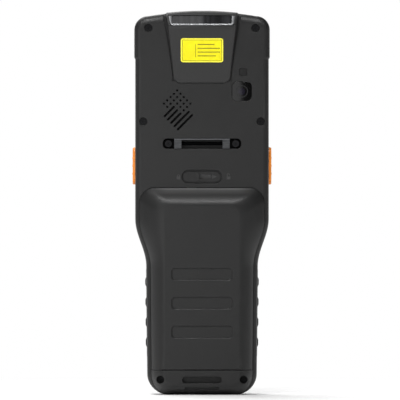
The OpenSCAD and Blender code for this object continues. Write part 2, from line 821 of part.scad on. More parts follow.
module rear_shell() color("#383838") difference() {
    union() {
        difference() {
            union() {
                rear_skin();
                intersection() {
                    pack_skin(y_back + edge_d / 2, 0);
                    box([-head_w, -head_w, -over], [head_w, y_part, bay_low]);
                }
            }
            slab(y_inner, y_part + over) inside(head_low, body_len);
            slab(y_floor, y_part + over) inside(0, head_low + over);
            box([-foot_room, y_back, foot_wall], [foot_room, y_part + over, bay_low - wall]);
        }
        rear_ribs();
    }
    bay();
    slab(y_back - over, y_back + hood_seat) offset_hood();
    slab(y_back - over, y_back + groove_d) difference() {
        offset_hood();
        polygon(both(hood_half(-skin)));
    }
    hood_body();
    engine_room();
    for (s = case_screws_at) pair() screw_pocket(s);
    slab(y_back - over, y_inner + over) grille();
    translate([camera_x, 0, camera_z]) camera_hole();
    translate([flash_x, 0, flash_z]) slab(y_back - over, y_inner + over)
        rounded(flash_w + 2 * skin, flash_w + 2 * skin, flash_r);
    anchor_hole();
    latch_hole();
    pair() button_hole();
    pair() side_band(skin, 0);
    gasket_ring(skin);
    translate([0, 0, contact_z]) slab(y_bay - over, y_floor + over)
        square([contact_w + 2 * skin, contact_h + 2 * skin], center = true);
    translate([sim_x, 0, sim_z]) slab(y_bay - over, y_floor + over)
        square([sim_w + 2 * skin, sim_h + 2 * skin], center = true);
    strap_way();
    pair() hook_room();
    for (p = board_screws_at) pair() bar_y(p[0], p[1], board_screw_d + 2 * skin, y_inner + 1, y_part);
}

// Hood outline and its grooves, as cut into the back
module offset_hood() {
    outline = both(hood_half(0));
    polygon([for (p = outline) [
        p[0] + sign(p[0]) * (p[1] > hood_z + hood_r / 3 ? groove_w : 0),
        p[1] > (crest_z + body_len) / 2 ? body_len + over : p[1]]]);
}

// Screw bosses, the tub under the strap anchor and the latch rails inside the rear housing
module rear_ribs() {
    intersection() {
        rear_skin();
        union() {
            for (s = case_screws_at) pair() bar_y(s[0], s[1], boss_d, y_back + 1, y_part);
            for (p = board_screws_at) pair() bar_y(p[0], p[1], board_post_d, y_inner - over, y_board);
            box([-anchor_len / 2 - wall, y_inner - over, anchor_z - anchor_wide / 2 - wall],
                [anchor_len / 2 + wall, y_back + anchor_deep + wall, anchor_z + anchor_wide / 2 + wall]);
            for (z = [latch_z + knob_w / 2 + slide_gap, latch_z - knob_w / 2 - slide_gap - rail_t]) box(
                [knob_x - plate_half - slide_gap, y_inner - over, z],
                [knob_x + latch_travel + plate_half + slide_gap, y_bolt, z + rail_t]);
        }
    }
}

// Battery bay: a seat for the cover's rim and a pocket for its case
module bay() {
    seat = both(pack_half(0, 2 * skin - seam_gap));
    intersection() {
        slab(y_back - over, y_rim + slide_gap) polygon([for (p = seat)
            [p[0], p[1] > bay_top - seam_gap - 2 * skin ? bay_top : p[1]]]);
        box([-head_w, y_pack, bay_low], [head_w, y_part, bay_top]);
    }
    box([-case_w / 2 - case_gap, y_back - over, case_low - case_gap],
        [case_w / 2 + case_gap, y_bay, bay_top]);
}

// Room in the foot for one hinge hook's swing
module hook_room() {
    box([hook_x - hook_w / 2 - slide_gap, hinge_y + hook_y - slide_gap, hinge_z - hook_l - slide_gap],
        [hook_x + hook_w / 2 + slide_gap, hinge_y + hook_swing, bay_low + over]);
}

// Camera window's seat with the lens hole under it
module camera_hole() {
    slab(y_back - over, y_back + window_t) rounded(camera_w + 2 * skin, camera_w + 2 * skin, camera_r + skin);
    bar_y(0, 0, lens_d + 2 * slide_gap, y_back - over, y_inner + over);
}

// Recess of the upper strap anchor: screw seats at the ends and the strap space between
module anchor_hole() {
    translate([0, 0, anchor_z]) {
        slab(y_back - over, y_back + anchor_seat) rounded(anchor_len, anchor_wide, anchor_r);
        slab(y_back - over, y_back + anchor_deep)
            square([2 * (post_in + post_w) + 2 * skin, anchor_wide], center = true);
        pair() bar_y(anchor_screw_x, 0, screw_d + 2 * skin, y_back, y_back + anchor_deep);
    }
}

// Floor for the latch with the groove round it, the stem's slot and the tongue's way into the bay
module latch_hole() {
    translate([0, 0, latch_z]) {
        slab(y_back - over, y_back + latch_seat) slot(latch_len, latch_wide);
        slab(y_back, y_back + latch_deep) difference() {
            slot(latch_len, latch_wide);
            slot(latch_len - 2 * latch_groove, knob_w);
        }
    }
    translate([knob_x + latch_travel / 2, 0, latch_z]) slab(y_back, y_inner + over)
        square([latch_travel + stem_l + 2 * key_gap, stem_w + 2 * slide_gap], center = true);
    box([knob_x - tongue_w / 2 - key_gap, y_bolt - bolt_t - slide_gap, bay_top - over],
        [knob_x + latch_travel + tongue_w / 2 + key_gap, y_bolt + slide_gap, latch_z - knob_w / 2]);
}

// Opening in the back under the hood for the scan engine
module engine_room() {
    box([-engine_w / 2 - engine_side, y_back - over, engine_low],
        [engine_w / 2 + engine_side, y_inner + over, crest_z + engine_side]);
}

// Soft band let into each side of the grip, grown by g, with bumps b high
module side_band(g, b) {
    z0 = side_low - g;
    z1 = side_top + g;
    levels = [for (i = [0:side_n]) mix(z0, z1, i / side_n)];
    bump = function (z) let (m = min([for (k = [0:3]) abs(z - bump_top + k * bump_pitch)]))
        m < bump_l / 2 ? b * cos(180 * m / bump_l) : 0;
    slab(button_y - side_w / 2 - g, button_y + side_w / 2 + g)
        polygon(concat(
            [for (z = levels) [side_half(z) + bump(z) + (b > 0 ? 0 : over), z]],
            [for (i = [side_n:-1:0]) [side_half(levels[i]) - side_t - g, levels[i]]]));
}

// Gasket's ring, grown by g on every side
module gasket_ring(g) {
    ring_in = (wall - gasket_w) / 2;
    slab(y_part - gasket_t / 2 - g, y_part + gasket_t / 2 + g) difference() {
        polygon(both(body_half(ring_in - g, ring_in - g, ring_in - g)));
        polygon(both(body_half(wall - ring_in + g, wall - ring_in + g, wall - ring_in + g)));
    }
}

module front_shell() color("#343434") difference() {
    union() {
        difference() {
            loft(concat(
                [for (i = [edge_n:-1:0]) let (a = 90 * i / edge_n, e = 1 - cos(a))
                    at(y_face - edge_d * (1 - sin(a)), both(body_half(edge_w * e, edge_w * e, edge_w * e)))],
                [at(y_part, both(body_half(0, 0, 0)))]));
            slab(y_part - over, y_ceiling) inside(0, body_len);
        }
        for (s = case_screws_at) pair() bar_y(s[0], s[1], boss_d, y_part, y_ceiling + over);
        for (p = key_posts) pair() bar_y(p[0], p[1], board_post_d, y_mat + mat_t, y_ceiling + over);
    }
    for (s = case_screws_at) pair() bar_y(s[0], s[1], screw_d + 2 * skin, y_part - over, y_ceiling);
    for (p = key_posts) pair() bar_y(p[0], p[1], board_screw_d + 2 * skin, y_mat, y_ceiling - over);
    translate([0, 0, glass_z]) {
        slab(y_face - glass_t - 2 * skin, y_face + over)
            rounded(glass_w + 4 * skin, glass_l + 4 * skin, glass_r);
        slab(y_ceiling - over, y_face) rounded(screen_w, screen_l, glass_r / 2);
    }
    translate([0, 0, (basin_low + basin_top) / 2]) slab(y_basin, y_face + over)
        rounded(basin_w, basin_top - basin_low, basin_r);
    for (k = KEYS) translate([k[1], 0, k[2]]) slab(y_ceiling - over, y_face)
        rounded(k[3] + 2 * key_gap, key_h + 2 * key_gap, key_r + key_gap);
    translate([0, 0, ear_z]) slab(y_ceiling - over, y_face + over) slot(ear_l, ear_h);
    bar_y(light_x, ear_z, light_d + 2 * skin, y_ceiling - over, y_face + over);
    bar_y(0, mic_z, mic_d, y_ceiling - over, y_face + over);
    gasket_ring(skin);
    port_cut();
}

// Seat of the port cover in the foot, its hinge holes and the port's opening
module port_cut() {
    box([-flap_half - slide_gap, flap_y0 - slide_gap, -over],
        [flap_half + slide_gap, flap_y1 + slide_gap, flap_z + flap_t + slide_gap]);
    bar_x(flap_axis_y, flap_axis_z, flap_pin_d + 2 * skin,
        -flap_half - flap_pin_l - slide_gap, flap_half + flap_pin_l + slide_gap);
    box([-port_w / 2 - skin, port_y - port_h / 2 - skin, 0],
        [port_w / 2 + skin, port_y + port_h / 2 + skin, foot_wall + over]);
}

// ---------- Keys ----------

// Each key: its name, place across, height, width and colour
KEYS = let (wide = scan_key_more / 2, top = row_low + 5 * key_row, under = top - key_row) concat(
    [["soft_left", key_col + wide / 2, top, key_w - wide, "#4a4d50"],
     ["scan", 0, top, key_w + 2 * wide, "#e8862c"],
     ["soft_right", -key_col - wide / 2, top, key_w - wide, "#4a4d50"],
     ["power", key_col, under, key_w, "#9c3a30"], ["ok", 0, under, key_w, "#4a4d50"],
     ["back", -key_col, under, key_w, "#4a4d50"]],
    [for (r = [0:3], c = [0:2]) [
        r > 0 ? str((3 - r) * 3 + c + 1) : ["star", "0", "hash"][c],
        (1 - c) * key_col, row_low + r * key_row, key_w, "#2a2b2c"]]);

// One key: crowned cap, flange under the face and stem over its dome
module key_part(k) color(k[4]) translate([k[1], 0, k[2]]) {
    intersection() {
        slab(y_ceiling - slide_gap - 2 * skin, y_face) rounded(k[3], key_h, key_r);
        translate([0, y_face - skin - key_crown, 0]) sphere(key_crown, $fn = 180);
    }
    slab(y_ceiling - slide_gap - key_flange_t, y_ceiling - slide_gap)
        rounded(k[3] + 2 * key_rim, key_h + 2 * key_rim, key_r + key_rim);
    bar_y(0, 0, key_stem_d, y_mat + 2 * mat_t + key_travel + slide_gap,
        y_ceiling - slide_gap - key_flange_t / 2);
}

module keypad_mat() color("#77797b") {
    difference() {
        slab(y_mat, y_mat + mat_t) translate([0, (basin_low + basin_top) / 2])
            square([key_board_w, key_board_l], center = true);
        for (p = key_posts) pair() bar_y(p[0], p[1], board_screw_d + 2 * skin, y_mat - over, y_mat + 1);
    }
    for (k = KEYS) bar_y(k[1], k[2], dome_d, y_mat + mat_t / 2, y_mat + 2 * mat_t);
}

module key_board() color("#1f5a38") difference() {
    slab(y_mat - board_t, y_mat) translate([0, (basin_low + basin_top) / 2])
        square([key_board_w, key_board_l], center = true);
    for (p = key_posts) pair() bar_y(p[0], p[1], board_screw_d + 2 * skin, y_mat - 2 * board_t, y_mat + 1);
}

// ---------- Trim and fixings of the housing ----------

module scanner_hood() color("#414141") difference() {
    hood_body();
    // Seat of the scan window, then the light's way in
    on_slope() {
        translate([0, 0, -scan_t]) linear_extrude(2 * scan_t)
            rounded(2 * scan_half + 2 * skin, scan_len + 2 * skin, scan_r);
        translate([0, 0, -hood_crest_h]) linear_extrude(2 * hood_crest_h)
            rounded(2 * (scan_half - scan_ledge), scan_len - scan_ledge, scan_r - over);
        translate([0, 0, -bezel_t]) linear_extrude(2 * bezel_t) bezel_outline(skin);
    }
    box([-engine_w / 2 - engine_side, y_back + hood_seat - engine_room_d, engine_low],
        [engine_w / 2 + engine_side, y_part, crest_z + scan_ledge]);
}

// Frame on the hood's end slope: x across, y up the slope, z outwards
module on_slope() {
    slope_h = hood_crest_h + hood_end_h;
    translate([0, y_back - hood_crest_h, crest_z])
        rotate([atan2(crest_drop, slope_h), 0, 0])
        translate([0, sqrt(crest_drop * crest_drop + slope_h * slope_h) * slope_at, 0])
        children();
}

// Bezel's outline on the slope: a trapezoid a little inside the hood's edges
module bezel_outline(g) {
    low = scan_half + bezel_w + g;
    z0 = -scan_len / 2 - bezel_low - g;
    z1 = scan_len / 2 - bezel_high + g;
    polygon([[-low, z0], [low, z0], [low + bezel_flare, z1], [-low - bezel_flare, z1]]);
}

module scan_bezel() color("#b4b6b8") on_slope() difference() {
    translate([0, 0, -bezel_t]) linear_extrude(bezel_t + bezel_proud) bezel_outline(0);
    translate([0, 0, -bezel_t - over]) linear_extrude(2 * bezel_t + over) {
        rounded(2 * scan_half + 2 * skin, scan_len + 2 * skin, scan_r);
        translate([-scan_half, 0]) square([2 * scan_half, scan_len]);
    }
}

module scan_window() color("#2a2a2c", 0.9) on_slope()
    translate([0, 0, -scan_t]) linear_extrude(scan_t - scan_sunk)
        rounded(2 * scan_half, scan_len, scan_r - skin);

module scan_engine() color("#5b5148") difference() {
    translate([-engine_w / 2, engine_y, engine_z - engine_h / 2]) cube([engine_w, engine_d, engine_h]);
    for (lens = engine_lenses) bar_y(lens[0], engine_z, lens[1], engine_y - over, engine_y + lens[1] / 2);
}

module camera_window() color("#0c0c0e") translate([camera_x, 0, camera_z])
    slab(y_back - 2 * skin, y_back + window_t) rounded(camera_w, camera_w, camera_r);

module camera_module() color("#26282a") translate([camera_x, 0, camera_z]) {
    slab(y_inner, y_inner + camera_body_d) square([camera_body, camera_body], center = true);
    bar_y(0, 0, lens_d, y_back + window_t, y_inner + over);
}

module flash_lens() color("#d9d9cf") translate([flash_x, 0, flash_z]) {
    slab(y_back - skin, y_inner + flash_rim / 2) rounded(flash_w, flash_w, flash_r - skin);
    slab(y_inner, y_inner + flash_rim) rounded(flash_w + 2 * flash_rim, flash_w + 2 * flash_rim, flash_r);
}

module speaker_mesh() color("#141414") translate([grille_x, y_inner, speaker_z])
    rotate([0, 45, 0]) translate([-speaker_w / 2, 0, -speaker_w / 2]) cube([speaker_w, mesh_t, speaker_w]);

module speaker() color("#33302c") translate([grille_x, y_inner + mesh_t, speaker_z]) rotate([0, 45, 0]) {
    translate([-speaker_w / 2, 0, -speaker_w / 2]) cube([speaker_w, speaker_d, speaker_w]);
    rotate([-90, 0, 0]) cylinder(d = magnet_d, h = speaker_d + 3 * slide_gap);
}

// Bracket of the upper anchor: two posts joined by a strip, and a tab with a screw hole at each end
module strap_bracket() color("#8d8f91") translate([0, 0, anchor_z]) difference() {
    h = anchor_wide - slide_gap;
    y_post = y_back - slide_gap;
    union() {
        pair() box([post_in, y_post, -h / 2], [post_in + post_w, y_back + anchor_deep, h / 2]);
        box([-post_in - over, y_post, h / 2 - strip_w], [post_in + over, y_post + strip_d, h / 2]);
        pair() intersection() {
            slab(y_back + anchor_seat - tab_t, y_back + anchor_seat)
                rounded(anchor_len - slide_gap, h, anchor_r - slide_gap / 2);
            box([post_in + post_w - over, y_back, -h], [anchor_len, y_back + anchor_deep, h]);
        }
    }
    pair() bar_x(strap_pin_y, 0, strap_pin_d + 2 * pin_gap, post_in - over, post_in + post_w / 2 + pin_gap);
    pair() bar_y(anchor_screw_x, 0, screw_d + 2 * skin, y_back, y_back + anchor_deep);
}

module strap_pin() color("#2c2d2f") bar_x(strap_pin_y, anchor_z, strap_pin_d,
    -post_in - post_w / 2, post_in + post_w / 2);

// Screw with a round head at depth y, its shank running towards the face
module screw(x, z, y, head, d, reach) {
    difference() {
        union() {
            bar_y(x, z, head, y - head_t, y);
            bar_y(x, z, d, y - over, y + reach);
        }
        for (t = [0, 90]) translate([x, y - head_t, z]) rotate([0, t, 0])
            cube([head * 0.6, 2 * drive_d, drive_w], center = true);
    }
}

module strap_screws() color("#3c3d3f") pair()
    screw(anchor_screw_x, anchor_z, y_back + anchor_seat - tab_t, screw_head, screw_d, strap_screw_l);

module case_screws() color("#2a2a2b") for (s = case_screws_at) pair()
    screw(s[0], s[1], s[2], screw_head, screw_d, y_ceiling - s[2] - front_wall);

module board_screws() color("#9a9c9e") {
    for (p = board_screws_at) pair() mirror([0, 1, 0])
        screw(p[0], p[1], -y_board - board_t, board_head, board_screw_d, board_screw_l);
    for (p = key_posts) pair() screw(p[0], p[1], y_mat - board_t, board_head, board_screw_d, key_screw_l);
}

module side_grip_left() color("#242424") mirror([1, 0, 0]) side_band(0, bump_h);
module side_grip_right() color("#242424") side_band(0, bump_h);
module shell_gasket() color("#1a1a1a") gasket_ring(0);

module display_glass() color("#0d0f12") translate([0, 0, glass_z])
    slab(y_face - glass_t - 2 * skin, y_face - 2 * skin) rounded(glass_w, glass_l, glass_r - 2 * skin);

module display_module() color("#3a4450") translate([0, 0, glass_z])
    slab(y_ceiling - screen_t, y_ceiling)
        square([screen_w + 2 * screen_rim, screen_l + 2 * screen_rim], center = true);

module main_board() color("#1f5a38") difference() {
    union() {
        slab(y_board, y_board + board_t) translate([-board_half, board_low])
            square([2 * board_half, board_top - board_low]);
        for (c = cans) box([c[0], y_board + board_t - skin, c[2]], [c[1], y_board + board_t + c[4], c[3]]);
    }
    for (p = board_screws_at) pair()
        bar_y(p[0], p[1], board_screw_d + 2 * skin, y_board - over, y_board + board_t + over);
    for (s = case_screws_at) pair()
        bar_y(s[0], s[1], boss_d + 2 * over, y_board - over, y_board + board_t + over);
}

module earpiece() color("#2b2b2d") translate([0, 0, ear_z])
    slab(y_ceiling - ear_d, y_ceiling) slot(ear_l + 2 * ear_rim, ear_h + 2 * ear_rim);

module status_light() color("#b8d8b0") {
    bar_y(light_x, ear_z, light_d, y_ceiling - 2 * light_rim, y_face - 2 * skin);
    bar_y(light_x, ear_z, light_d + 2 * light_rim, y_ceiling - 2 * light_rim, y_ceiling);
}

module vibration_motor() color("#a7a9ab")
    bar_x(y_board - motor_d / 2, board_top - motor_l, motor_d, motor_x, motor_x + motor_l);

// Switch behind each side button, on the back of the main board
module trigger_switches() color("#c9cbc4") pair() {
    tip = flange_x - button_travel - slide_gap;
    box([tip - switch_pin - switch_d, y_board - switch_d, button_z - switch_l / 2],
        [tip - switch_pin / 2, y_board, button_z + switch_l / 2]);
    bar_x(y_board - switch_d / 2, button_z, switch_pin, tip - switch_pin, tip);
}

module battery_contacts() color("#c9a24a") translate([0, 0, contact_z]) {
    slab(y_bay, y_floor) square([contact_w, contact_h], center = true);
}

module usb_port() color("#a9abad") difference() {
    box([-port_w / 2, port_y - port_h / 2, flap_z + flap_t + slide_gap],
        [port_w / 2, port_y + port_h / 2, port_top]);
    box([-port_w / 2 + port_wall, port_y - port_h / 2 + port_wall, 0],
        [port_w / 2 - port_wall, port_y + port_h / 2 - port_wall, port_top - port_wall]);
}

module sim_socket() color("#8f9193") translate([sim_x, 0, sim_z]) difference() {
    slab(y_bay + slide_gap, y_floor) square([sim_w, sim_h], center = true);
    slab(y_bay, y_bay + floor_t / 2) square([sim_w - 4 * over, sim_h - 4 * over], center = true);
}

// ---------- Battery pack ----------

// Space in which the pack can swing out about its round lower edge, with lower end at z0
module swing_room(z0) {
    intersection() {
        union() {
            box([-head_w, hinge_y, z0], [head_w, y_part, bay_top]);
            box([-head_w, y_pack - over, max(z0, hinge_z)], [head_w, y_part, bay_top]);
            bar_x(hinge_y, hinge_z, 2 * (hinge_z - z0) + skin / 10, -head_w, head_w);
        }
        bar_x(hinge_y, hinge_z, 2 * pack_swing, -head_w, head_w);
    }
}

// Notch for the latch: open to the face where the latch is free, closed by a ledge where it locks
module latch_notch() {
    x0 = knob_x - tongue_w / 2 - notch_gap;
    x1 = knob_x + tongue_w / 2 + notch_gap;
    box([x0, y_bolt - bolt_t - notch_gap, notch_z], [x1 + latch_travel, y_bolt + notch_gap, bay_top + over]);
    box([x0, y_bolt - over, notch_z], [x1, y_bay + over, bay_top + over]);
}

module battery_cover() color("#3b3b3b") {
    difference() {
        intersection() {
            pack_skin(y_rim, 0);
            swing_room(pack_low);
        }
        intersection() {
            pack_skin(y_rim + over, cover_t);
            box([-head_w, y_pack, pack_low + cover_t - case_gap], [head_w, y_part, bay_top]);
        }
        for (i = [0:2]) translate([0, 0, bar_z + i * bar_pitch]) finger_bar();
        latch_notch();
    }
    pair() hinge_hook();
}

// One finger bar: a shallow tray with round corners, whose walls slope in to its floor
module finger_bar() {
    half = function (e) concat(
        [for (i = [0:corner_n]) let (a = 90 * i / corner_n)
            [bar_half - bar_r + (bar_r - e) * sin(a), -bar_h / 2 + bar_r - (bar_r - e) * cos(a)]],
        [for (i = [0:corner_n]) let (a = 90 * i / corner_n)
            [bar_half - bar_r + (bar_r - e) * cos(a), bar_h / 2 - bar_r + (bar_r - e) * sin(a)]]);
    loft([for (d = [bar_d, -over]) at(y_pack + d, both(half(d * bar_slope)))]);
}

// Hook that holds the pack's lower edge inside the foot
module hinge_hook() {
    box([hook_x - hook_w / 2, hinge_y + hook_y, hinge_z - hook_l],
        [hook_x + hook_w / 2, hinge_y + hook_y + hook_t, pack_low + cover_t]);
}

module battery_case() color("#222324") difference() {
    intersection() {
        union() {
            slab(y_rim - case_flange_t, y_rim) polygon(both(pack_half(0, cover_t + skin)));
            box([-case_w / 2, y_rim - over, case_low], [case_w / 2, y_bay - case_gap, bay_top]);
        }
        union() {
            box([-head_w, y_pack, pack_low + cover_t], [head_w, y_rim, bay_top - cover_t - notch_gap]);
            box([-case_w / 2, y_rim, case_low], [case_w / 2, y_part, bay_top]);
        }
        swing_room(pack_low);
    }
    box([-cell_w / 2 - slide_gap, y_pack, cell_z - slide_gap],
        [cell_w / 2 + slide_gap, y_bay - case_gap - case_t, cell_z + cell_l + slide_gap]);
    latch_notch();
    for (i = [-1.5:1.5]) box(
        [i * pad_pitch - pad_w / 2 - skin, y_bay - case_gap - pad_t, contact_z - pad_h / 2 - skin],
        [i * pad_pitch + pad_w / 2 + skin, y_bay, contact_z + pad_h / 2 + skin]);
}

module battery_cell() color("#5a6a7a")
    slab(y_bay - case_gap - case_t - slide_gap - cell_t, y_bay - case_gap - case_t - slide_gap)
        translate([0, cell_z + cell_l / 2]) rounded(cell_w, cell_l, 3);

module battery_pads() color("#d0a850") for (i = [-1.5:1.5])
    box([i * pad_pitch - pad_w / 2, y_bay - case_gap - pad_t, contact_z - pad_h / 2],
        [i * pad_pitch + pad_w / 2, y_bay - case_gap, contact_z + pad_h / 2]);

// ---------- Latch ----------

module latch_knob() color("#3e3e3e") translate([knob_x, 0, latch_z]) difference() {
    union() {
        slab(y_back - knob_proud, y_back + latch_seat - 2 * skin) rounded(knob_l, knob_w, knob_r);
        slab(y_back, y_bolt - bolt_t) square([stem_l, stem_w], center = true);
    }
    for (i = [-1:1]) box([i * knob_groove - knob_line, y_back - over, -knob_w],
        [i * knob_groove + knob_line, y_back - knob_line, knob_w]);
}

module latch_bolt() color("#353637") {
    slab(y_bolt - bolt_t, y_bolt) translate([knob_x, latch_z])
        square([2 * plate_half, knob_w], center = true);
    slab(y_bolt - bolt_t, y_bolt) translate([knob_x - tongue_w / 2, bay_top - tongue_l])
        square([tongue_w, latch_z - bay_top + tongue_l]);
}

// ---------- Side buttons and port cover ----------

module scan_button() color("#ee8a30") difference() {
    translate([0, button_y, button_z]) {
        intersection() {
            side_slab(flange_x, head_w / 2 + button_out + skin)
                rounded(button_w, button_l, button_r);
            translate([head_w / 2 + button_out - button_crown, -button_w, 0])
                rotate([-90, 0, 0]) cylinder(r = button_crown, h = 2 * button_w, $fn = 96);
        }
        side_slab(flange_x, flange_x + flange_t)
            rounded(button_w + 2 * flange_rim, button_l + 2 * flange_rim, button_r + flange_rim);
        for (i = [-1:1]) bar_y(head_w / 2 + button_out - 2 * skin, i * rib_pitch, 2 * rib_h,
            -button_w / 3, button_w / 3);
    }
}
module scan_button_left() mirror([1, 0, 0]) scan_button();
module scan_button_right() scan_button();

module port_cover() color("#232323") {
    box([-flap_half, flap_y0, flap_z], [flap_half, flap_axis_y, flap_z + flap_t]);
    bar_x(flap_axis_y, flap_axis_z, flap_t - 2 * skin, -flap_half, flap_half);
    bar_x(flap_axis_y, flap_axis_z, flap_pin_d, -flap_half - flap_pin_l, flap_half + flap_pin_l);
}

front_shell();
rear_shell();
shell_gasket();
scanner_hood();
scan_bezel();
scan_window();
scan_engine();
camera_window();
camera_module();
flash_lens();
speaker();
speaker_mesh();
strap_bracket();
strap_pin();
strap_screws();
case_screws();
side_grip_left();
side_grip_right();
display_glass();
display_module();
keypad_mat();
key_board();
main_board();
board_screws();
earpiece();
status_light();
vibration_motor();
trigger_switches();
battery_contacts();
usb_port();
sim_socket();
battery_cover();
battery_case();
battery_cell();
battery_pads();
latch_knob();
latch_bolt();
scan_button_left();
scan_button_right();
port_cover();
for (k = KEYS) key_part(k);
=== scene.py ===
from contextlib import contextmanager

import bmesh
import bpy
import numpy as np
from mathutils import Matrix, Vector


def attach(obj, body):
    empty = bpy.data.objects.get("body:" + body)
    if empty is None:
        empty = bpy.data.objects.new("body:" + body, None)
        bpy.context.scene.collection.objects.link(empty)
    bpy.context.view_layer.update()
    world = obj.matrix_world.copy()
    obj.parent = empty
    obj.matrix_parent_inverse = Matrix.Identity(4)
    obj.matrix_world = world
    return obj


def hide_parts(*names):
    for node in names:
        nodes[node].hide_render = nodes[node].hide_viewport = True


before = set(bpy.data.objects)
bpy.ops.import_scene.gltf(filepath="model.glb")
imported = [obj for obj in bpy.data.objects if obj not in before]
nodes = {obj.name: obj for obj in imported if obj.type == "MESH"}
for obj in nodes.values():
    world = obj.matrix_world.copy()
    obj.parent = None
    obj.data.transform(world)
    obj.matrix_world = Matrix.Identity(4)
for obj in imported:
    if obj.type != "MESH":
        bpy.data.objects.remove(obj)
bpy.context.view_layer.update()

# ----------------------------------------
# Rear housing: one injection moulding in grained charcoal plastic, with straight walls, softly
# rounded long edges and a flat back. Its foot below the battery follows the battery's own curve.
# Every recess has a small radius round its mouth, as a moulded part needs to leave its tool.
MM = 0.001
HEAD, GRIP, LONG = 67.0, 56.0, 192.0  # widths of head and grip, overall length
Y_FACE, Y_PART, Y_BACK, Y_PACK = 15.0, 5.0, -8.0, -15.0  # screen side, parting plane, back, battery
SHOULDER = (64.0, 88.0)  # the grip widens to the head between these heights
GRIP_TAPER = 0.5  # each side of the grip draws in by this much towards the foot
FOOT_R, TOP_R = 10.5, 7.0  # corner radii of the outline
CROWN_R, HOOD_LIP = 160.0, 0.4  # arch of the top end: radius, and what the hood stands over it
BUMPER = (167.5, 168.7, 0.5)  # step under the side bumpers: from, to, and how far they stand out
EDGE, TOP_EDGE = 3.0, 5.0  # rounded long edges, and how far they draw in along the top end
SEAM_TOP, SEAM_IN, SEAM_GAP = 103.45, 2.2, 0.25  # seam round the battery: top, distance in, gap
SEAM_R, FLAT_HALF, FLAT_R = 7.5, 18.5, 5.0  # battery: corner at the seam, flat back and its corner
RAMP_UP, RAMP_LOW, PACK_RISE = 9.4, 5.0, 7.0  # ramps above and below the flat back, and its height
HAIR = 0.1  # each new skin lies this far inside the solid
ARC_POINTS = 21


def quarter(n):
    """Angles of a quarter turn in n points."""
    return np.linspace(0, np.pi / 2, n)


def columns(*values):
    """Points from their coordinates, one array for each."""
    return np.stack(values, 1)


def swell(t):
    """Smooth step: (1 - cos(pi t)) / 2, with t held between 0 and 1."""
    return (1 - np.cos(np.pi * np.clip(t, 0, 1))) / 2


def side_half(z):
    """Half width of the housing at height z: taper, cosine shoulder, then the bumper step."""
    z = np.asarray(z, float)
    low, high = SHOULDER
    start, stop, proud = BUMPER
    grip = GRIP / 2 - GRIP_TAPER * (low - z) / (low - FOOT_R)
    rise = GRIP / 2 + (HEAD - GRIP) / 2 * swell((z - low) / (high - low))
    return np.where(z < low, grip, rise) + proud * swell((z - start) / (stop - start))


def side_rows(*above):
    """Heights of the points along the sides, close together where the sides bend."""
    return np.concatenate([[13, 20, 45], np.linspace(*SHOULDER, 41), *above])


def crown(x):
    """Height of the arched top end: a shallow parabola."""
    return LONG - HOOD_LIP - np.asarray(x, float) ** 2 / (2 * CROWN_R)


def body_half(side, top, foot):
    """Right half of the outline from the foot round to the crown, drawn in by side, top and foot:
    a quarter ellipse at the foot, the side curve, a quarter ellipse at the top corner, the arch."""
    a = quarter(ARC_POINTS)
    foot_x = side_half(FOOT_R) - FOOT_R
    corner_x = HEAD / 2 + BUMPER[2] - TOP_R
    corner_z = crown(corner_x) - TOP_R
    z = side_rows([92, 130, 163], np.linspace(BUMPER[0] - 0.3, BUMPER[1] + 0.3, 9))
    x = corner_x * np.linspace(1, 0.03, 15)[1:]
    return np.concatenate([
        columns(foot_x + (FOOT_R - side) * np.sin(a), FOOT_R - (FOOT_R - foot) * np.cos(a)),
        columns(side_half(z) - side, z),
        columns(corner_x + (TOP_R - side) * np.cos(a), corner_z + (TOP_R - top) * np.sin(a)),
        columns(x, crown(x) - top)])


def pack_half(p, e):
    """Right half of the battery's outline: p runs from the seam (0) to the flat back (1) and blends
    each corner centre, radius and side between the two; e draws the outline in."""
    def mix(a, b):
        return a + (b - a) * p
    a = quarter(ARC_POINTS)
    flat_x = FLAT_HALF - FLAT_R
    seam_z = SEAM_TOP - SEAM_GAP - SEAM_R
    low_x, low_z = mix(side_half(FOOT_R) - FOOT_R, flat_x), mix(FOOT_R, RAMP_LOW + FLAT_R)
    top_x = mix(side_half(SEAM_TOP) - SEAM_IN - SEAM_R, flat_x)
    top_z = mix(seam_z, SEAM_TOP - RAMP_UP - FLAT_R)
    top_r = mix(SEAM_R, FLAT_R) - e
    z = side_rows()
    return np.concatenate([
        columns(low_x + (mix(FOOT_R - SEAM_IN, FLAT_R) - e) * np.sin(a),
                low_z - (mix(FOOT_R - SEAM_GAP * 2, FLAT_R) - e) * np.cos(a)),
        columns(mix(side_half(z) - SEAM_IN, FLAT_HALF) - e,
                mix(z, low_z + (z - FOOT_R) * (top_z - low_z) / (seam_z - FOOT_R))),
        columns(top_x + top_r * np.cos(a), top_z + top_r * np.sin(a))])


def ring(half, y):
    """Closed ring at depth y: the half outline and its mirror image."""
    full = np.concatenate([half, half[::-1] * (-1, 1)])
    return columns(full[:, 0], np.broadcast_to(y, len(full)), full[:, 1])


def both(y):
    """Depths of a half outline's points, repeated for its mirror image."""
    return np.concatenate([y, y[::-1]])


def link(name, mesh, material=None):
    """Object at the origin that holds mesh."""
    made = bpy.data.objects.new(name, mesh)
    bpy.context.scene.collection.objects.link(made)
    if material:
        mesh.materials.clear()
        mesh.materials.append(material)
    return made


@contextmanager
def editing(mesh):
    """Opens a mesh as a bmesh and writes it back afterwards."""
    work = bmesh.new()
    work.from_mesh(mesh)
    yield work
    work.to_mesh(mesh)
    work.free()


def mesh_of(name, points, faces):
    """Mesh from points in millimetres and faces, doubles merged, faces outwards."""
    mesh = bpy.data.meshes.new(name)
    rows = faces if isinstance(faces, list) else faces.tolist()
    mesh.from_pydata((points * MM).tolist(), [], rows)
    with editing(mesh) as work:
        bmesh.ops.remove_doubles(work, verts=work.verts, dist=1e-7)
        bmesh.ops.recalc_face_normals(work, faces=work.faces)
    return mesh


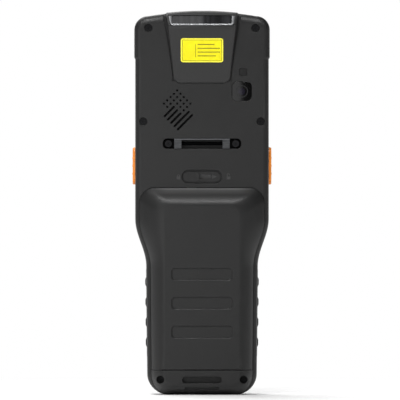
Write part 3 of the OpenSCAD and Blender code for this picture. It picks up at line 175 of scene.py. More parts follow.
def tube_quads(rows, n):
    """Quads between the neighbours in a stack of closed rings with n points each."""
    start, i = np.meshgrid(np.arange(rows - 1) * n, np.arange(n), indexing="ij")
    j = (i + 1) % n
    return np.stack([start + i, start + n + i, start + n + j, start + j], -1).reshape(-1, 4)


def loft(name, rings):
    """Closed skin through a stack of rings that are mirror images left to right; strips from each
    point to its image close both ends."""
    rows, n = len(rings), len(rings[0])
    i = np.arange(n // 2 - 1)
    cap = columns(i, i + 1, n - 2 - i, n - 1 - i)
    faces = np.concatenate([tube_quads(rows, n), cap, cap[:, ::-1] + n * (rows - 1)])
    return mesh_of(name, np.concatenate(rings), faces)


def pad_half(w, h, r, arc=9):
    """Right half of a rectangle with round corners, from below upwards; w = h = 2r is a circle."""
    a = quarter(arc)
    return np.concatenate([columns(w / 2 - r + r * np.sin(a), -h / 2 + r - r * np.cos(a)),
                           columns(w / 2 - r + r * np.cos(a), h / 2 - r + r * np.sin(a))])


def stack(name, x, z, rows, arc=9):
    """Closed skin through rounded rectangles centred on x and z, each row w, h, r and depth y."""
    return loft(name, [ring(pad_half(w, h, r, arc), y) + (x, 0, z) for w, h, r, y in rows])


def lip(x, z, w, h, r, size, y, way=1):
    """Cutter that rounds the mouth of a hole w by h, corner r, in a face at depth y whose material
    lies towards way: a quarter circle of radius size turns from the face into the hole's wall."""
    deep = np.array([-0.5, 0, 0.08, 0.25, 0.5, 0.75, 1]) * size
    inside = 0.01
    grow = size - np.sqrt(size ** 2 - (size - np.clip(deep, 0, None)) ** 2) - inside
    return stack("lip", x, z, [
        (w + 2 * g, h + 2 * g, r + g, y + way * d) for g, d in zip(grow, deep)])


def poured(work, name):
    """New mesh from a bmesh, which is freed."""
    mesh = bpy.data.meshes.new(name)
    work.to_mesh(mesh)
    work.free()
    return mesh


def merged(name, meshes):
    """One mesh that holds several."""
    work = bmesh.new()
    for each in meshes:
        work.from_mesh(each)
    return poured(work, name)


def cad_copy(name, flat=False):
    """Merged copy of a CAD node's mesh; flat joins the triangles of each flat face again."""
    work = bmesh.new()
    work.from_mesh(nodes[name].data)
    bmesh.ops.remove_doubles(work, verts=work.verts, dist=2e-6)
    if flat:
        bmesh.ops.dissolve_limit(work, angle_limit=0.01, verts=work.verts, edges=work.edges)
    mesh = poured(work, name)
    mesh.materials.clear()
    return mesh


def evaluated_mesh(holder):
    """Mesh of an object as its modifiers or its text leave it; the object itself stays."""
    live = holder.evaluated_get(bpy.context.evaluated_depsgraph_get())
    return bpy.data.meshes.new_from_object(live)


def carve(mesh, *steps):
    """Applies boolean steps to a mesh, each an operation and a cutter mesh."""
    base = link("carved", mesh)
    for operation, cutter in steps:
        tool = link("cutter", cutter)
        made = base.modifiers.new("cut", "BOOLEAN")
        made.object, made.operation, made.solver = tool, operation, "EXACT"
        fresh = evaluated_mesh(base)
        base.modifiers.clear()
        base.data = fresh
        bpy.data.objects.remove(tool)
    mesh = base.data
    bpy.data.objects.remove(base)
    return mesh


def taken(items, name, kind, width=1):
    """One property of all faces, corners or vertices: an array of rows, or of numbers."""
    out = np.empty(len(items) * width, kind)
    items.foreach_get(name, out)
    return out.reshape(-1, width) if width > 1 else out


def smooth(mesh, degrees=32):
    """Smooth shading without slivers. Creases stay sharp where faces meet at more than degrees.
    A large plane, summed over all faces in it, shades flat up to its edge: each corner there
    takes the plane's direction, and so do the corners of the rounded edge that meet it."""
    with editing(mesh) as work:
        bmesh.ops.triangulate(work, faces=[f for f in work.faces if len(f.verts) > 4])
        bmesh.ops.remove_doubles(work, verts=work.verts, dist=2e-5)
        bmesh.ops.dissolve_degenerate(work, edges=work.edges, dist=1e-6)
    mesh.shade_smooth()
    mesh.set_sharp_from_angle(angle=np.radians(degrees))

    normal = taken(mesh.polygons, "normal", np.float32, 3)
    area = taken(mesh.polygons, "area", np.float32)
    offset = (normal * taken(mesh.polygons, "center", np.float32, 3)).sum(1)
    way_steps, place_steps = 400, 20  # one plane: directions within 1/400, places within 1/20 mm
    key = np.round(np.column_stack([normal * way_steps, offset / MM * place_steps])).astype(int)
    plane = np.unique(key, axis=0, return_inverse=True)[1].ravel()
    total = np.bincount(plane, area)
    large = min(80 * MM * MM, 0.08 * area.sum())

    vertex = taken(mesh.loops, "vertex_index", np.int32)
    owner = np.repeat(np.arange(len(area)), taken(mesh.polygons, "loop_total", np.int32))
    turned = taken(mesh.corner_normals, "vector", np.float32, 3)
    best = np.full(len(owner), np.cos(np.radians(degrees)))
    stray = (turned * normal[owner]).sum(1) < best
    turned[stray] = normal[owner][stray]
    for big in np.flatnonzero(total > large):
        direction = normal[plane == big].mean(0)
        touched = np.zeros(len(mesh.vertices), bool)
        touched[vertex[plane[owner] == big]] = True
        near = normal[owner] @ direction
        chosen = touched[vertex] & (near > best)
        turned[chosen], best[chosen] = direction, near[chosen]
    mesh.normals_split_custom_set(turned.tolist())
    return mesh


def shell_rings(start, back, top, shrink):
    """Rings of a housing's skin: straight from start to the edge, then a quarter ellipse 3 mm deep
    that draws in 3 mm at the sides, top at the crown, and 3 mm or half as much at the foot."""
    a = quarter(15)
    depth = back + np.sign(start - back) * (shrink + EDGE * (1 - np.sin(a)))
    draw = EDGE * (1 - np.cos(a))
    foot = 0.5 if top > EDGE else 1
    edge = [ring(body_half(shrink + v, shrink + v * top / EDGE, shrink + v * foot), y)
            for v, y in zip(draw, depth)]
    return [ring(body_half(shrink, shrink, shrink), start)] + edge


def bend(t, a, b):
    """Cubic from 0 to 1 whose two inner control points stand at a and b."""
    return 3 * a * t * (1 - t) ** 2 + 3 * b * t ** 2 * (1 - t) + t ** 3


def pack_rings(shrink):
    """Rings of the battery's skin: straight up to the back plane, then up by 7 mm while the
    outline draws in to the flat back. Both follow a cubic bend: steep at the seam, a long ramp,
    and a soft turn into the flat."""
    rings = [ring(pack_half(0, shrink * 0.2), 0)]
    for t in np.linspace(0, 1, 31):
        half = pack_half(bend(t, 0.1, 0.6), shrink * min(1, 0.2 + 8 * t))
        rings.append(ring(half, Y_BACK - (PACK_RISE - shrink) * bend(t, 0.3, 1)))
    return rings


class Sock:
    """A shader socket that takes arithmetic: each operator adds one Math node."""

    def __init__(self, owner, socket):
        self.owner, self.socket = owner, socket

    def math(self, operation, *values):
        return self.owner.node("ShaderNodeMath", {"operation": operation}, dict(enumerate(values)))

    def __gt__(self, other):
        return self.math("GREATER_THAN", self, other)

    def __lt__(self, other):
        return self.math("LESS_THAN", self, other)

    def __abs__(self):
        return self.math("ABSOLUTE", self)


# The four operators of arithmetic, and their reflected forms, as in 1 - mask.
for sign, kind in (("add", "ADD"), ("sub", "SUBTRACT"), ("mul", "MULTIPLY"), ("truediv", "DIVIDE")):
    setattr(Sock, f"__{sign}__", lambda one, two, kind=kind: one.math(kind, one, two))
    setattr(Sock, f"__r{sign}__", lambda one, two, kind=kind: one.math(kind, two, one))


class Nodes:
    """The node tree of a material or of the world."""

    def __init__(self, tree):
        self.tree = tree

    def node(self, kind, settings=None, sockets=None, out=0):
        """One node: its settings first, a ramp's stops among them, then values or links."""
        made = self.tree.nodes.new(kind)
        for key, value in (settings or {}).items():
            if key == "stops":
                bar = made.color_ramp.elements
                while len(bar) < len(value):
                    bar.new(0.5)
                for stop, (place, colour) in zip(bar, value):
                    stop.position, stop.color = place, colour
            else:
                setattr(made, key, value)
        for key, value in (sockets or {}).items():
            if isinstance(value, Sock):
                self.tree.links.new(value.socket, made.inputs[key])
            else:
                made.inputs[key].default_value = value
        return Sock(self, made.outputs[out])


class Finish(Nodes):
    """One material: constants go straight onto its shader, and what varies is fed in by nodes."""

    def __init__(self, name, **constants):
        self.material = bpy.data.materials.new(name)
        self.material.use_nodes = True
        super().__init__(self.material.node_tree)
        self.shader = self.tree.nodes["Principled BSDF"]
        for key, value in constants.items():
            self.shader.inputs[key.replace("_", " ")].default_value = value

    def feed(self, name, value):
        self.tree.links.new(value.socket, self.shader.inputs[name])

    def place(self):
        return self.node("ShaderNodeTexCoord", out="Object")

    def axes(self):
        """The place along x, y and z in millimetres."""
        parts = self.node("ShaderNodeSeparateXYZ", {}, {0: self.place()})
        return [Sock(self, parts.socket.node.outputs[k]) * 1000 for k in range(3)]

    def length(self, vector):
        return self.node("ShaderNodeVectorMath", {"operation": "LENGTH"}, {0: vector}, 1)

    def noise(self, per_metre, detail=2.0, roughness=0.5, stretch=None):
        where = self.place()
        if stretch:
            where = self.node("ShaderNodeMapping", {}, {"Vector": where, "Scale": stretch})
        return self.node("ShaderNodeTexNoise", {}, {
            "Vector": where, "Scale": per_metre, "Detail": detail, "Roughness": roughness})

    def ramp(self, value, *stops):
        return self.node("ShaderNodeValToRGB", {"stops": stops}, {0: value})

    def tones(self, value, low, high, spread=0.2):
        """Colour that turns from low to high over the middle of a noise's range."""
        return self.ramp(value, (0.5 - spread, low), (0.5 + spread, high))

    def blend(self, mask, below, above):
        """Colour that is below where mask is 0 and above where it is 1."""
        return self.node("ShaderNodeMix", {"data_type": "RGBA"}, {0: mask, 6: below, 7: above}, 2)

    def filled(self, colour, roughness, height=None, strength=0.0, millimetres=0.0):
        """The material once its colour, its roughness and, from a height, its bump are fed in."""
        self.feed("Base Color", colour)
        self.feed("Roughness", roughness)
        if height:
            self.feed("Normal", self.node("ShaderNodeBump", {}, {
                "Strength": strength, "Distance": millimetres * MM, "Height": height}))
        return self.material

    def box(self, across, up, x, z, w, h):
        """Mask that is 1 inside a rectangle centred on x and z."""
        return (abs(across - x) < w / 2) * (abs(up - z) < h / 2)


def srgb(code, factor=1.0):
    """Linear colour of a #rrggbb code: c/12.92 near black, ((c + 0.055) / 1.055)^2.4 above; its
    light is then multiplied by factor."""
    c = np.array([int(code[i:i + 2], 16) for i in (1, 3, 5)]) / 255
    linear = np.where(c <= 0.04045, c / 12.92, ((c + 0.055) / 1.055) ** 2.4)
    return (*(linear * factor), 1.0)


def grained(name, code, roughness, grain=0.3, pitch=0.3, mottle=0.06, gloss=0.34):
    """Finish and colour of moulded plastic: a fine etched grain with peaks pitch mm apart, faint
    flow clouds in its colour, and gloss that varies with the grain."""
    f = Finish(name, Specular_IOR_Level=gloss)
    cloud, grains = f.noise(70, 3), f.noise(1000 / pitch, 3, 0.6)
    speck = f.tones(grains, srgb(code, 1 - mottle * 1.4), srgb(code, 1 + mottle * 1.4), 0.15)
    wide = f.tones(cloud, srgb(code, 1 - mottle), srgb(code, 1 + mottle))
    colour = f.blend(0.5, speck, wide)
    f.filled(colour, grains * 0.16 + (cloud * 0.06 + (roughness - 0.11)), grains, grain, 0.05)
    return f, colour


def moulded(name, code, roughness, **texture):
    """Moulded plastic of one plain colour."""
    return grained(name, code, roughness, **texture)[0].material


charcoal = moulded("charcoal plastic", "#232323", 0.38)
back_face = Y_BACK + HAIR
pack_face = Y_PACK + HAIR
rear_skin = carve(loft("rear skin", shell_rings(Y_PART + 2, Y_BACK, TOP_EDGE, HAIR)),
                  ("UNION", loft("foot skin", pack_rings(HAIR))))
GROOVE_LOW, GROOVE_TOP, GROOVE_FLOOR = 157.2, 185.4, Y_BACK + 1.75  # groove beside the hood


def groove_fill(side):
    """Prism that narrows the groove beside the hood: its inner edge follows the curve
    x = 14.7 + 2.5 t + 2 t^2, where t runs from 0 to 1 over 29 mm of height."""
    z = np.linspace(GROOVE_LOW, GROOVE_TOP, 15)
    t = (z - GROOVE_LOW) / 29
    edge = columns(14.7 + 2.5 * t + 2 * t ** 2, z)
    flat = np.concatenate([edge, [(19.6, GROOVE_TOP), (16.1, GROOVE_LOW)]]) * (side, 1)
    points = np.concatenate([np.insert(flat, 1, y, 1) for y in (back_face, GROOVE_FLOOR)])
    n = len(flat)
    i = np.arange(n)
    ends = [i.tolist(), (i + n).tolist()]
    return mesh_of("groove fill", points, tube_quads(2, n).tolist() + ends)


# Recesses in the back: place x and z, width, height, corner radius, radius round the mouth.
POCKETS = [(s * x, z, 4, 4, 2, 0.3) for s in (-1, 1) for x, z in ((26.75, 183.3), (29.4, 136.5))]
ANCHOR_Z, LATCH_Z = 125.4, 108.9
CAM_X, CAM_Z, CAM_WIDE, CAM_R = 19.9, 151.5, 9.8, 2.5
RECESSES = [
    *POCKETS,
    (0, ANCHOR_Z, 39, 5.1, 2, 0.3),
    (0, LATCH_Z, 20, 6.7, 3.34, 0.3),
    (CAM_X, CAM_Z, CAM_WIDE + 0.1, CAM_WIDE + 0.1, CAM_R + 0.05, 0.25),
    (20.5, 161.2, 3.7, 3.7, 0.8, 0.2)]
STRAP_SLOT = (0, 7.4, 19.6, 3.2, 1.59, 0.35)
rear_lips = [lip(*recess, back_face) for recess in RECESSES] + [lip(*STRAP_SLOT, pack_face)]
rear = link("rear_housing", smooth(carve(
    cad_copy("rear_shell"),
    ("INTERSECT", rear_skin),
    ("UNION", merged("groove fills", [groove_fill(-1), groove_fill(1)])),
    ("DIFFERENCE", merged("rear lips", rear_lips)))), charcoal)
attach(rear, "housing")
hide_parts("rear_shell")

# ----------------------------------------
# Front housing: the shallow moulding on the screen side, the same grained charcoal as the rear
# but a shade cooler. It takes the screws from behind, so its face has no fixings; the window
# for the glass and the keypad's basin get a fine radius round their mouths.
# Openings in the face: place x and z, width, height, corner radius, radius round the mouth.
FRONT_MOUTHS = {
    "glass": (0, 137.5, 58.2, 92.2, 4, 0.3),
    "keypad": (0, 52.5, 48, 69, 5, 0.5),
    "earpiece": (0, 185.8, 12, 1.2, 0.6, 0.2),
    "microphone": (0, 12, 1.2, 1.2, 0.6, 0.15)}
front_lips = merged("front lips", [
    lip(*mouth, Y_FACE - HAIR, -1) for mouth in FRONT_MOUTHS.values()])
front_skin = loft("front skin", shell_rings(Y_PART - 2, Y_FACE, EDGE, HAIR))
front = link("front_housing", smooth(carve(
    cad_copy("front_shell"),
    ("INTERSECT", front_skin),
    ("DIFFERENCE", front_lips))), moulded("front plastic", "#2a2c2e", 0.44))
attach(front, "housing")
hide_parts("front_shell")

# ----------------------------------------
# Gasket: a moulded silicone cord that is clamped between the two housings. Only its outer edge
# can be seen, as the fine black line round the side.
rubber = moulded("soft rubber", "#202020", 0.8, grain=0.5, pitch=0.5, mottle=0.12, gloss=0.2)


def dress(material, *names):
    """Gives CAD nodes their material."""
    for name in names:
        mesh = nodes[name].data
        mesh.materials.clear()
        mesh.materials.append(material)


dress(rubber, "shell_gasket")

# ----------------------------------------
# Scanner hood: a wedge-shaped charcoal moulding that rises towards the top end and shelters the
# scan window on its end slope. It is bonded into a shallow seat, with a dark groove on either side.
HOOD_LOW, CREST = 155.5, 184.6  # lower edge, and the crest where the two slopes meet
HOOD_HALF, HOOD_R = (14.0, 18.5), 4.0  # half widths at the lower edge and the top, lower corners
HOOD_RISE = (0.5, 5.0, -1.5)  # height of the face over the back: lower edge, crest, end
HOOD_SEAT, HOOD_ROUND = 1.0, 1.1  # depth of the seat, draw of the rounded long edges
DIP, DIP_SLOPE = 3.0, 0.62  # over this distance past the crest the seat starts to slope forwards


def hood_half(draw):
    """Right half of the hood's outline: a small arc below, straight slanted sides, the crown."""
    def side(z):
        low, top = HOOD_HALF
        return low + (top - low) * (z - HOOD_LOW) / (LONG - HOOD_LOW) - draw
    a = quarter(13)
    radius, corner_z = HOOD_R - draw, HOOD_LOW + HOOD_R
    z = np.concatenate([[165, 175, 182], CREST + np.linspace(-0.9, 0.9, 7), [187, 189]])
    x = side(LONG) * np.linspace(0.97, 0.03, 9)
    return np.concatenate([
        columns(side(corner_z) - radius * (1 - np.sin(a)), corner_z - radius * np.cos(a)),
        columns(side(z), z),
        columns(x, crown(x) + HOOD_LIP - draw)])


def hood_face(z):
    """Depth of the hood's face: it rises from 0.5 to 5 mm at the crest, then falls away to the
    end; the two slopes meet in a smooth maximum with a radius of about 1 mm."""
    low, crest, end = HOOD_RISE
    up = low + (crest - low) * (z - HOOD_LOW) / (CREST - HOOD_LOW)
    down = crest + (end - crest) * (z - CREST) / (LONG - CREST)
    soft = 0.25
    return Y_BACK + soft * np.logaddexp(-up / soft, -down / soft)


def hood_rings():
    """Rings from the seat to the face: the sides go straight up to half the height, then round
    over by a quarter ellipse that draws in 1.1 mm."""
    rings = []
    for t in (0, 0.25, 0.5, *np.linspace(0.55, 1, 10)):
        v = max(0.0, (t - 0.5) / 0.5)
        half = hood_half(HAIR + HOOD_ROUND * (1 - np.sqrt(1 - v * v)))
        base = Y_BACK + HOOD_SEAT + DIP_SLOPE * np.clip(half[:, 1] - CREST - DIP, 0, None)
        rings.append(ring(half, both(base + (hood_face(half[:, 1]) - base) * t)))
    return rings


# The hood's plastic is a shade lighter than the housing's: painted light for the brighter face it
# shows.
hood = link("hood", smooth(carve(
    cad_copy("scanner_hood"),
    ("INTERSECT", loft("hood skin", hood_rings())))), moulded("hood plastic", "#2a2a2a", 0.39))
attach(hood, "housing")
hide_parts("scanner_hood")

# ----------------------------------------
# Scan window: a small smoked acrylic pane, held on the end slope by a silver painted bezel, a
# half-round moulding whose arms run up both sides of the pane. The laser leaves through the
# pane, so it has no coating.
# The end slope: its directions across, up and outwards, and the place where the bezel is centred.
SLOPE = np.array([[1, 0, 0], [0, 0.66, 0.7513], [0, -0.7513, 0.66]])
SLOPE_AT = np.array([0, -10.53, 187.41])
ARM_X, ARM_TOP, ARM_LOW = 14.93, 2.2, -2.0  # inner edge of the bezel's arms, and their ends
ARM_HALF, ARM_GROWTH = 0.59, 0.24  # half width of an arm below, and its growth upwards
BAR_HALF, TURN_X, TURN_UP = 0.44, 1.42, 1.31  # bar's half width, half axes of the turns
BEZEL_SUNK, BEZEL_PROUD = 0.85, 0.16


def refined(piece, node, body, material, bevel=0.15, segments=2, degrees=32):
    """Piece that stands for a node: its solid with flat faces joined, edges rounded by bevel mm
    and smooth shading."""
    made = link(piece, smooth(cad_copy(node, True), degrees), material)
    edge = made.modifiers.new("edge", "BEVEL")
    edge.width, edge.segments, edge.limit_method = bevel * MM, segments, "ANGLE"
    edge.angle_limit = np.radians(degrees)
    made.modifiers.new("even shading", "WEIGHTED_NORMAL").keep_sharp = True
    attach(made, body)
    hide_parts(node)
    return made


def painted_metal(name, code, roughness, brush=(1, 1, 1), metal=0.85, pitch=0.25):
    """Metal or metal paint: a metallic base with fine flakes or brush lines and soft clouds."""
    f = Finish(name, Specular_IOR_Level=0.5, Metallic=metal)
    flake, cloud = f.noise(1000 / pitch, 2, 0.5, brush), f.noise(160, 2)
    return f.filled(f.tones(flake, srgb(code, 0.88), srgb(code, 1.1)),
                    flake * 0.12 + (cloud * 0.1 + (roughness - 0.1)), flake, 0.12, 0.02)


def smoked_acrylic():
    """Dark clear plastic: near-black, with faint upright bands and a few soft smears."""
    f = Finish("smoked acrylic", Specular_IOR_Level=0.6)
    bands, smear = f.noise(420, 1, 0.4, (1, 0.06, 0.06)), f.noise(90, 3)
    banded = f.tones(bands, srgb("#262628", 0.55), srgb("#262628", 1.5), 0.15)
    return f.filled(banded, smear * 0.02 + 0.02)


def bezel_skin():
    """Half-round section along a U on the slope: two arms that widen upwards, a straight bar
    below, and quarter ellipses between them. Each row of the path is a place across and up, a
    half width, and the outward direction."""
    up = np.linspace(ARM_TOP, ARM_LOW, 9)
    wide = ARM_HALF + ARM_GROWTH * (up - ARM_LOW) / (ARM_TOP - ARM_LOW)
    arm = columns(-ARM_X - wide, up, wide, -np.ones(9), np.zeros(9))
    a = quarter(9)[1:-1]
    start_x = -(ARM_X + ARM_HALF - TURN_X)
    turn = columns(start_x - TURN_X * np.cos(a), ARM_LOW - TURN_UP * np.sin(a),
                   ARM_HALF - (ARM_HALF - BAR_HALF) * np.sin(a), -np.cos(a), -np.sin(a))
    foot = columns(np.linspace(start_x, -0.5, 12), np.full(12, ARM_LOW - TURN_UP),
                   np.full(12, BAR_HALF), np.zeros(12), -np.ones(12))
    left = np.concatenate([arm, turn, foot])
    path = np.concatenate([left, left[::-1] * (-1, 1, 1, -1, 1)])
    b = np.linspace(0, np.pi, 11)
    off = np.concatenate([[-1], -np.cos(b), [1]])
    out = np.concatenate([[-BEZEL_SUNK], BEZEL_PROUD * np.sin(b), [-BEZEL_SUNK]])
    spot = path[:, None, :2] + off[None, :, None] * path[:, None, 2:3] * path[:, None, 3:]
    rows, n = spot.shape[:2]
    local = np.concatenate([spot, np.broadcast_to(out[None, :, None], (rows, n, 1))], 2)
    faces = tube_quads(rows, n).tolist() + [list(range(n)), list(range((rows - 1) * n, rows * n))]
    return smooth(mesh_of("bezel", local.reshape(-1, 3) @ SLOPE + SLOPE_AT, faces), 50)


bezel = link("bezel", bezel_skin(), painted_metal("silver paint", "#939496", 0.32))
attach(bezel, "housing")
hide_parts("scan_bezel")
refined("scan_pane", "scan_window", "housing", smoked_acrylic(), 0.08)

# ----------------------------------------
# Sticker: a plain yellow vinyl label, 21 by 12 mm with round corners, pressed onto the hood's
# face. It carries only a fine dark border, a divider and four ruled lines.
STICKER = (21.2, 12.0, 1.2, 172.0)  # width, height, corner radius, height above the floor
PROFILE = ((0, -0.15), (0, 0.02), (0.03, 0.08), (0.1, 0.12), (0.6, 0.12))  # draw and thickness


def sticker_rings():
    """Rounded rectangle laid on the sloping face, 0.12 mm thick, its upper edge turned over."""
    w, h, r, z = STICKER
    rings = []
    for draw, out in PROFILE:
        half = pad_half(w - 2 * draw, h - 2 * draw, r - draw) + (0, z)
        rings.append(ring(half, both(hood_face(half[:, 1]) - out)))
    return rings


def vinyl():
    """Yellow vinyl: printed lines are masks on the place across and up the label."""
    w, h, r, z = STICKER
    f = Finish("yellow vinyl", Specular_IOR_Level=0.35)
    x, _, up = f.axes()

    def within(margin):
        return f.box(x, up, 0, z, w - margin, h - margin)
    cloud, fine = f.noise(220, 3), f.noise(5200, 2)
    yellow = f.tones(cloud, srgb("#f2e600", 0.97), srgb("#fbf000"))
    colour = f.blend(1 - within(1.3), yellow, srgb("#fff64a"))
    rules = within(1.5) * (1 - within(2.0)) + f.box(x, up, -3.2, z - 0.2, 0.28, h - 5.4)
    for k, long in enumerate((8.4, 11.2, 11.2, 9.2)):
        rules = rules + f.box(x, up, long / 2 - 2.2, z + 2.9 - 1.9 * k, long, 0.5)
    printed = f.blend((rules > 0.5) * (fine * 0.25 + 0.62), colour, srgb("#2a2710"))
    return f.filled(printed, cloud * 0.08 + 0.4, fine, 0.12, 0.02)


sticker = link("sticker", smooth(loft("sticker", sticker_rings())), vinyl())
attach(sticker, "housing")

# ----------------------------------------
# Camera: a pressed-in window of flat glass with a polished rim, printed black behind except for a
# clear spot over the lens, round which runs a fine grey ring. The module behind it is black
# cast plastic.
CAM_LENS, CAM_RING = 1.7, (2.62, 3.05)  # radius of the clear spot; the ring's inner and outer one


def camera_rows():
    """Widths, corner radius and depth of each ring: straight walls, a quarter circle of 0.2 mm
    round the rim, then the flat glass."""
    front, depth, radius = Y_BACK - 0.02, 0.78, 0.2
    draw = [(radius * (1 - np.cos(v)), radius * (1 - np.sin(v))) for v in quarter(6)]
    rim = [(CAM_WIDE - 2 * d, CAM_R - d, front + s) for d, s in draw]
    return [(w, w, r, y) for w, r, y in [(CAM_WIDE, CAM_R, front + depth)] + rim]


def camera_glass():
    """Black printed glass: gloss everywhere, and a painted violet reflection of the lens coating
    where the lens shows through.
    """
    f = Finish("camera glass", Specular_IOR_Level=0.6)
    x, _, z = f.axes()
    far = f.length(f.node("ShaderNodeCombineXYZ", {}, {0: x - CAM_X, 1: z - CAM_Z}))
    smear = f.noise(60, 3)
    black = f.tones(smear, srgb("#020202"), srgb("#050505"))
    # Painted reflection: the clear spot over the lens is a dark violet.
    lens_reflection = f.blend(far < CAM_LENS, black, srgb("#120f1c"))
    ring_line = (far > CAM_RING[0]) * (far < CAM_RING[1])
    ringed = f.blend(ring_line, lens_reflection, srgb("#141517"))
    return f.filled(ringed, smear * 0.02 + (ring_line * 0.2 + 0.01))


camera_pane = link("camera_pane", smooth(stack("camera pane", CAM_X, CAM_Z, camera_rows(), 13), 40),
                   camera_glass())
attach(camera_pane, "housing")
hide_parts("camera_window")
cast_plastic = moulded("black cast plastic", "#1c1b1a", 0.6)
dress(cast_plastic, "camera_module")

# ----------------------------------------
# Flash: a small frosted polycarbonate block behind the back, its face ribbed so that it spreads
# the light of the diode under it. Unlit, it shows as a smoky grey square.


def frosted(name, code, rib):
    """Frosted clear plastic: fine upright prism ribs in the bump, a cloudy smoked colour."""
    f = Finish(name, Specular_IOR_Level=0.3)
    x = f.axes()[0]
    cloud = f.noise(700, 3)
    wave = x.math("SINE", x * (2 * np.pi / rib))
    smoky = f.tones(cloud, srgb(code, 0.85), srgb(code, 1.2))
    return f.filled(smoky, cloud * 0.1 + 0.4, wave, 0.3, 0.05)


refined("flash", "flash_lens", "housing", frosted("frosted flash plastic", "#171717", 0.45),
        0.1)

# ----------------------------------------
# Speaker grille: the holes are moulded in the housing; behind them a black woven steel gauze
# keeps dust from the speaker, which is clamped under it. The earpiece is of the same make.
GAUZE_PITCH = 0.3


def gauze():
    """Woven gauze: wires as crossed sine waves, one to a pitch, in colour and bump."""
    f = Finish("speaker gauze", Specular_IOR_Level=0.4, Metallic=0.3)
    x, _, z = f.axes()
    turn = 2 * np.pi / GAUZE_PITCH
    weave = x.math("SINE", x * turn) * z.math("SINE", z * turn)
    dust = f.noise(900, 2)
    wires = f.ramp(weave * 0.5 + 0.5, (0.35, srgb("#050505")), (0.75, srgb("#1b1b1c")))
    return f.filled(wires, dust * 0.2 + 0.5, weave, 0.6, 0.05)


dress(gauze(), "speaker_mesh")
dress(cast_plastic, "speaker", "earpiece")

# ----------------------------------------
# Upper strap anchor: a bent steel bracket in a recess, held by two black screws through its end
# tabs. Two posts carry a steel cross pin, over which the hand strap is looped.
POST_X, HIGHLIGHT_Z, HIGHLIGHT_Y = 13.9, 127.5, -7.0  # the posts' outer faces; the height and depth past which the painted highlight on the top edge lies


def anchor_steel():
    """Satin plated steel with a painted highlight along its top edge between the posts; the tabs
    beyond the posts are painted black, which also stands for the shade deep in their pockets.
    """
    f = Finish("anchor steel", Specular_IOR_Level=0.5, Metallic=0.55)
    x, y, z = f.axes()
    tab = abs(x) > POST_X
    strip = (abs(x) < POST_X) * (z > HIGHLIGHT_Z) * (y < HIGHLIGHT_Y)
    scratch = f.noise(1400, 3, 0.6, (0.15, 1, 1))
    plated = f.tones(scratch, srgb("#3c3d3f"), srgb("#505153"))
    # Painted highlight: the top edge between the posts is a lighter grey.
    bright = f.blend(strip, plated, srgb("#66676a"))
    f.feed("Metallic", tab * 0.4 + 0.55)
    # The tabs' black is partly painted shade: besides their paint it stands for the shade deep in
    # their pockets.
    return f.filled(f.blend(tab, bright, srgb("#0a0a0a")), scratch * 0.16 + (tab * 0.4 + 0.3),
                    scratch, 0.15, 0.02)


refined("anchor_bracket", "strap_bracket", "housing", anchor_steel(), 0.12)
refined("anchor_pin", "strap_pin", "housing",
        painted_metal("black oxide", "#0a0a0b", 0.6, metal=1.0, pitch=0.4), 0.1)
blackened = painted_metal("blackened steel", "#1d1d1f", 0.42, metal=0.7, pitch=0.4)
refined("anchor_screws", "strap_screws", "housing", blackened, 0.12)

# ----------------------------------------
# Case screws: six blackened cross-head screws at the bottom of deep pockets, driven through the
# rear housing into bosses of the front one. They squeeze the gasket between the two.
refined("housing_screws", "case_screws", "housing", blackened)

# ----------------------------------------
# Grip strips: soft rubber strips let flush into either side of the grip, each with four raised
# bars for the fingers. They are moulded apart and glued into their channels.
STRIP_LOW, STRIP_TOP, STRIP_DEEP, STRIP_WIDE = 19.0, 63.0, 0.8, 8.0
SIDE_Y = -0.1  # depth of the middle of a side, between the two faces of its wall
FINGER_BARS = 56.3 - 10.05 * np.arange(4)  # heights of their middles
BAR_HALF_LOW, BAR_FLANK, BAR_PROUD = 2.7, 1.7, 0.5  # half width at the foot, flank, height


def strip(name, side):
    """Surface over height z and the turn u across the strip: the outer face follows the housing,
    rises by 0.5 mm at the bars, with cosine flanks, and rounds over at its edges as |u|^8."""
    z, u = np.linspace(STRIP_LOW, STRIP_TOP, 177), np.linspace(-1, 1, 21)
    zz, uu = np.meshgrid(z, u, indexing="ij")
    away = np.abs(zz[..., None] - FINGER_BARS).min(-1)
    bar = BAR_PROUD * swell((BAR_HALF_LOW - away) / BAR_FLANK)
    ends = np.clip(np.minimum(zz - STRIP_LOW, STRIP_TOP - zz) / 0.5, 0, 1)
    fall = np.abs(uu) ** 8
    x = side_half(zz) - 0.12 * (1 - ends) - 0.15 * fall + bar * (1 - fall)
    outer = np.stack([x, SIDE_Y + STRIP_WIDE / 2 * uu, zz], -1)
    inner_x = side_half(z) - STRIP_DEEP
    inner = [columns(inner_x, np.full(len(z), SIDE_Y + s * STRIP_WIDE / 2), z)[:, None]
             for s in (1, -1)]
    full = np.concatenate([outer, *inner], 1) * (side, 1, 1)
    rows, n = full.shape[:2]
    i = np.arange(n - 2)
    fan = columns(np.full(n - 2, n - 1), i, i + 1)
    faces = [*tube_quads(rows, n).tolist(), *fan.tolist(), *(fan + (rows - 1) * n).tolist()]
    return smooth(mesh_of(name, full.reshape(-1, 3), faces), 40)


for side, hand in ((-1, "left"), (1, "right")):
    grip = link("grip_" + hand, strip("grip " + hand, side), rubber)
    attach(grip, "housing")
    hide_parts("side_grip_" + hand)

# ----------------------------------------
# Side scan buttons: solid orange caps of satin ABS, almost flat, with three low ribs across, held
# behind the wall by a flange. Pressed, each closes a small switch on the main board.
BUTTON_Z, BUTTON_X = SEAM_TOP + 10.9, HEAD / 2 + 1.2  # middle, and place of the flat face
FLANGE, FLANGE_X = (9.2, 20.3, 3.8), (30.7, 31.5)  # width, height, corner radius; from, to
CAP, CAP_ROUND = (7.6, 18.7, 3.0), 0.6  # the part outside, and the radius round its face
RIB, RIB_SUNK, RIB_PROUD, RIB_PITCH = (5.4, 1.3, 0.6), 0.02, 0.2, 3.9


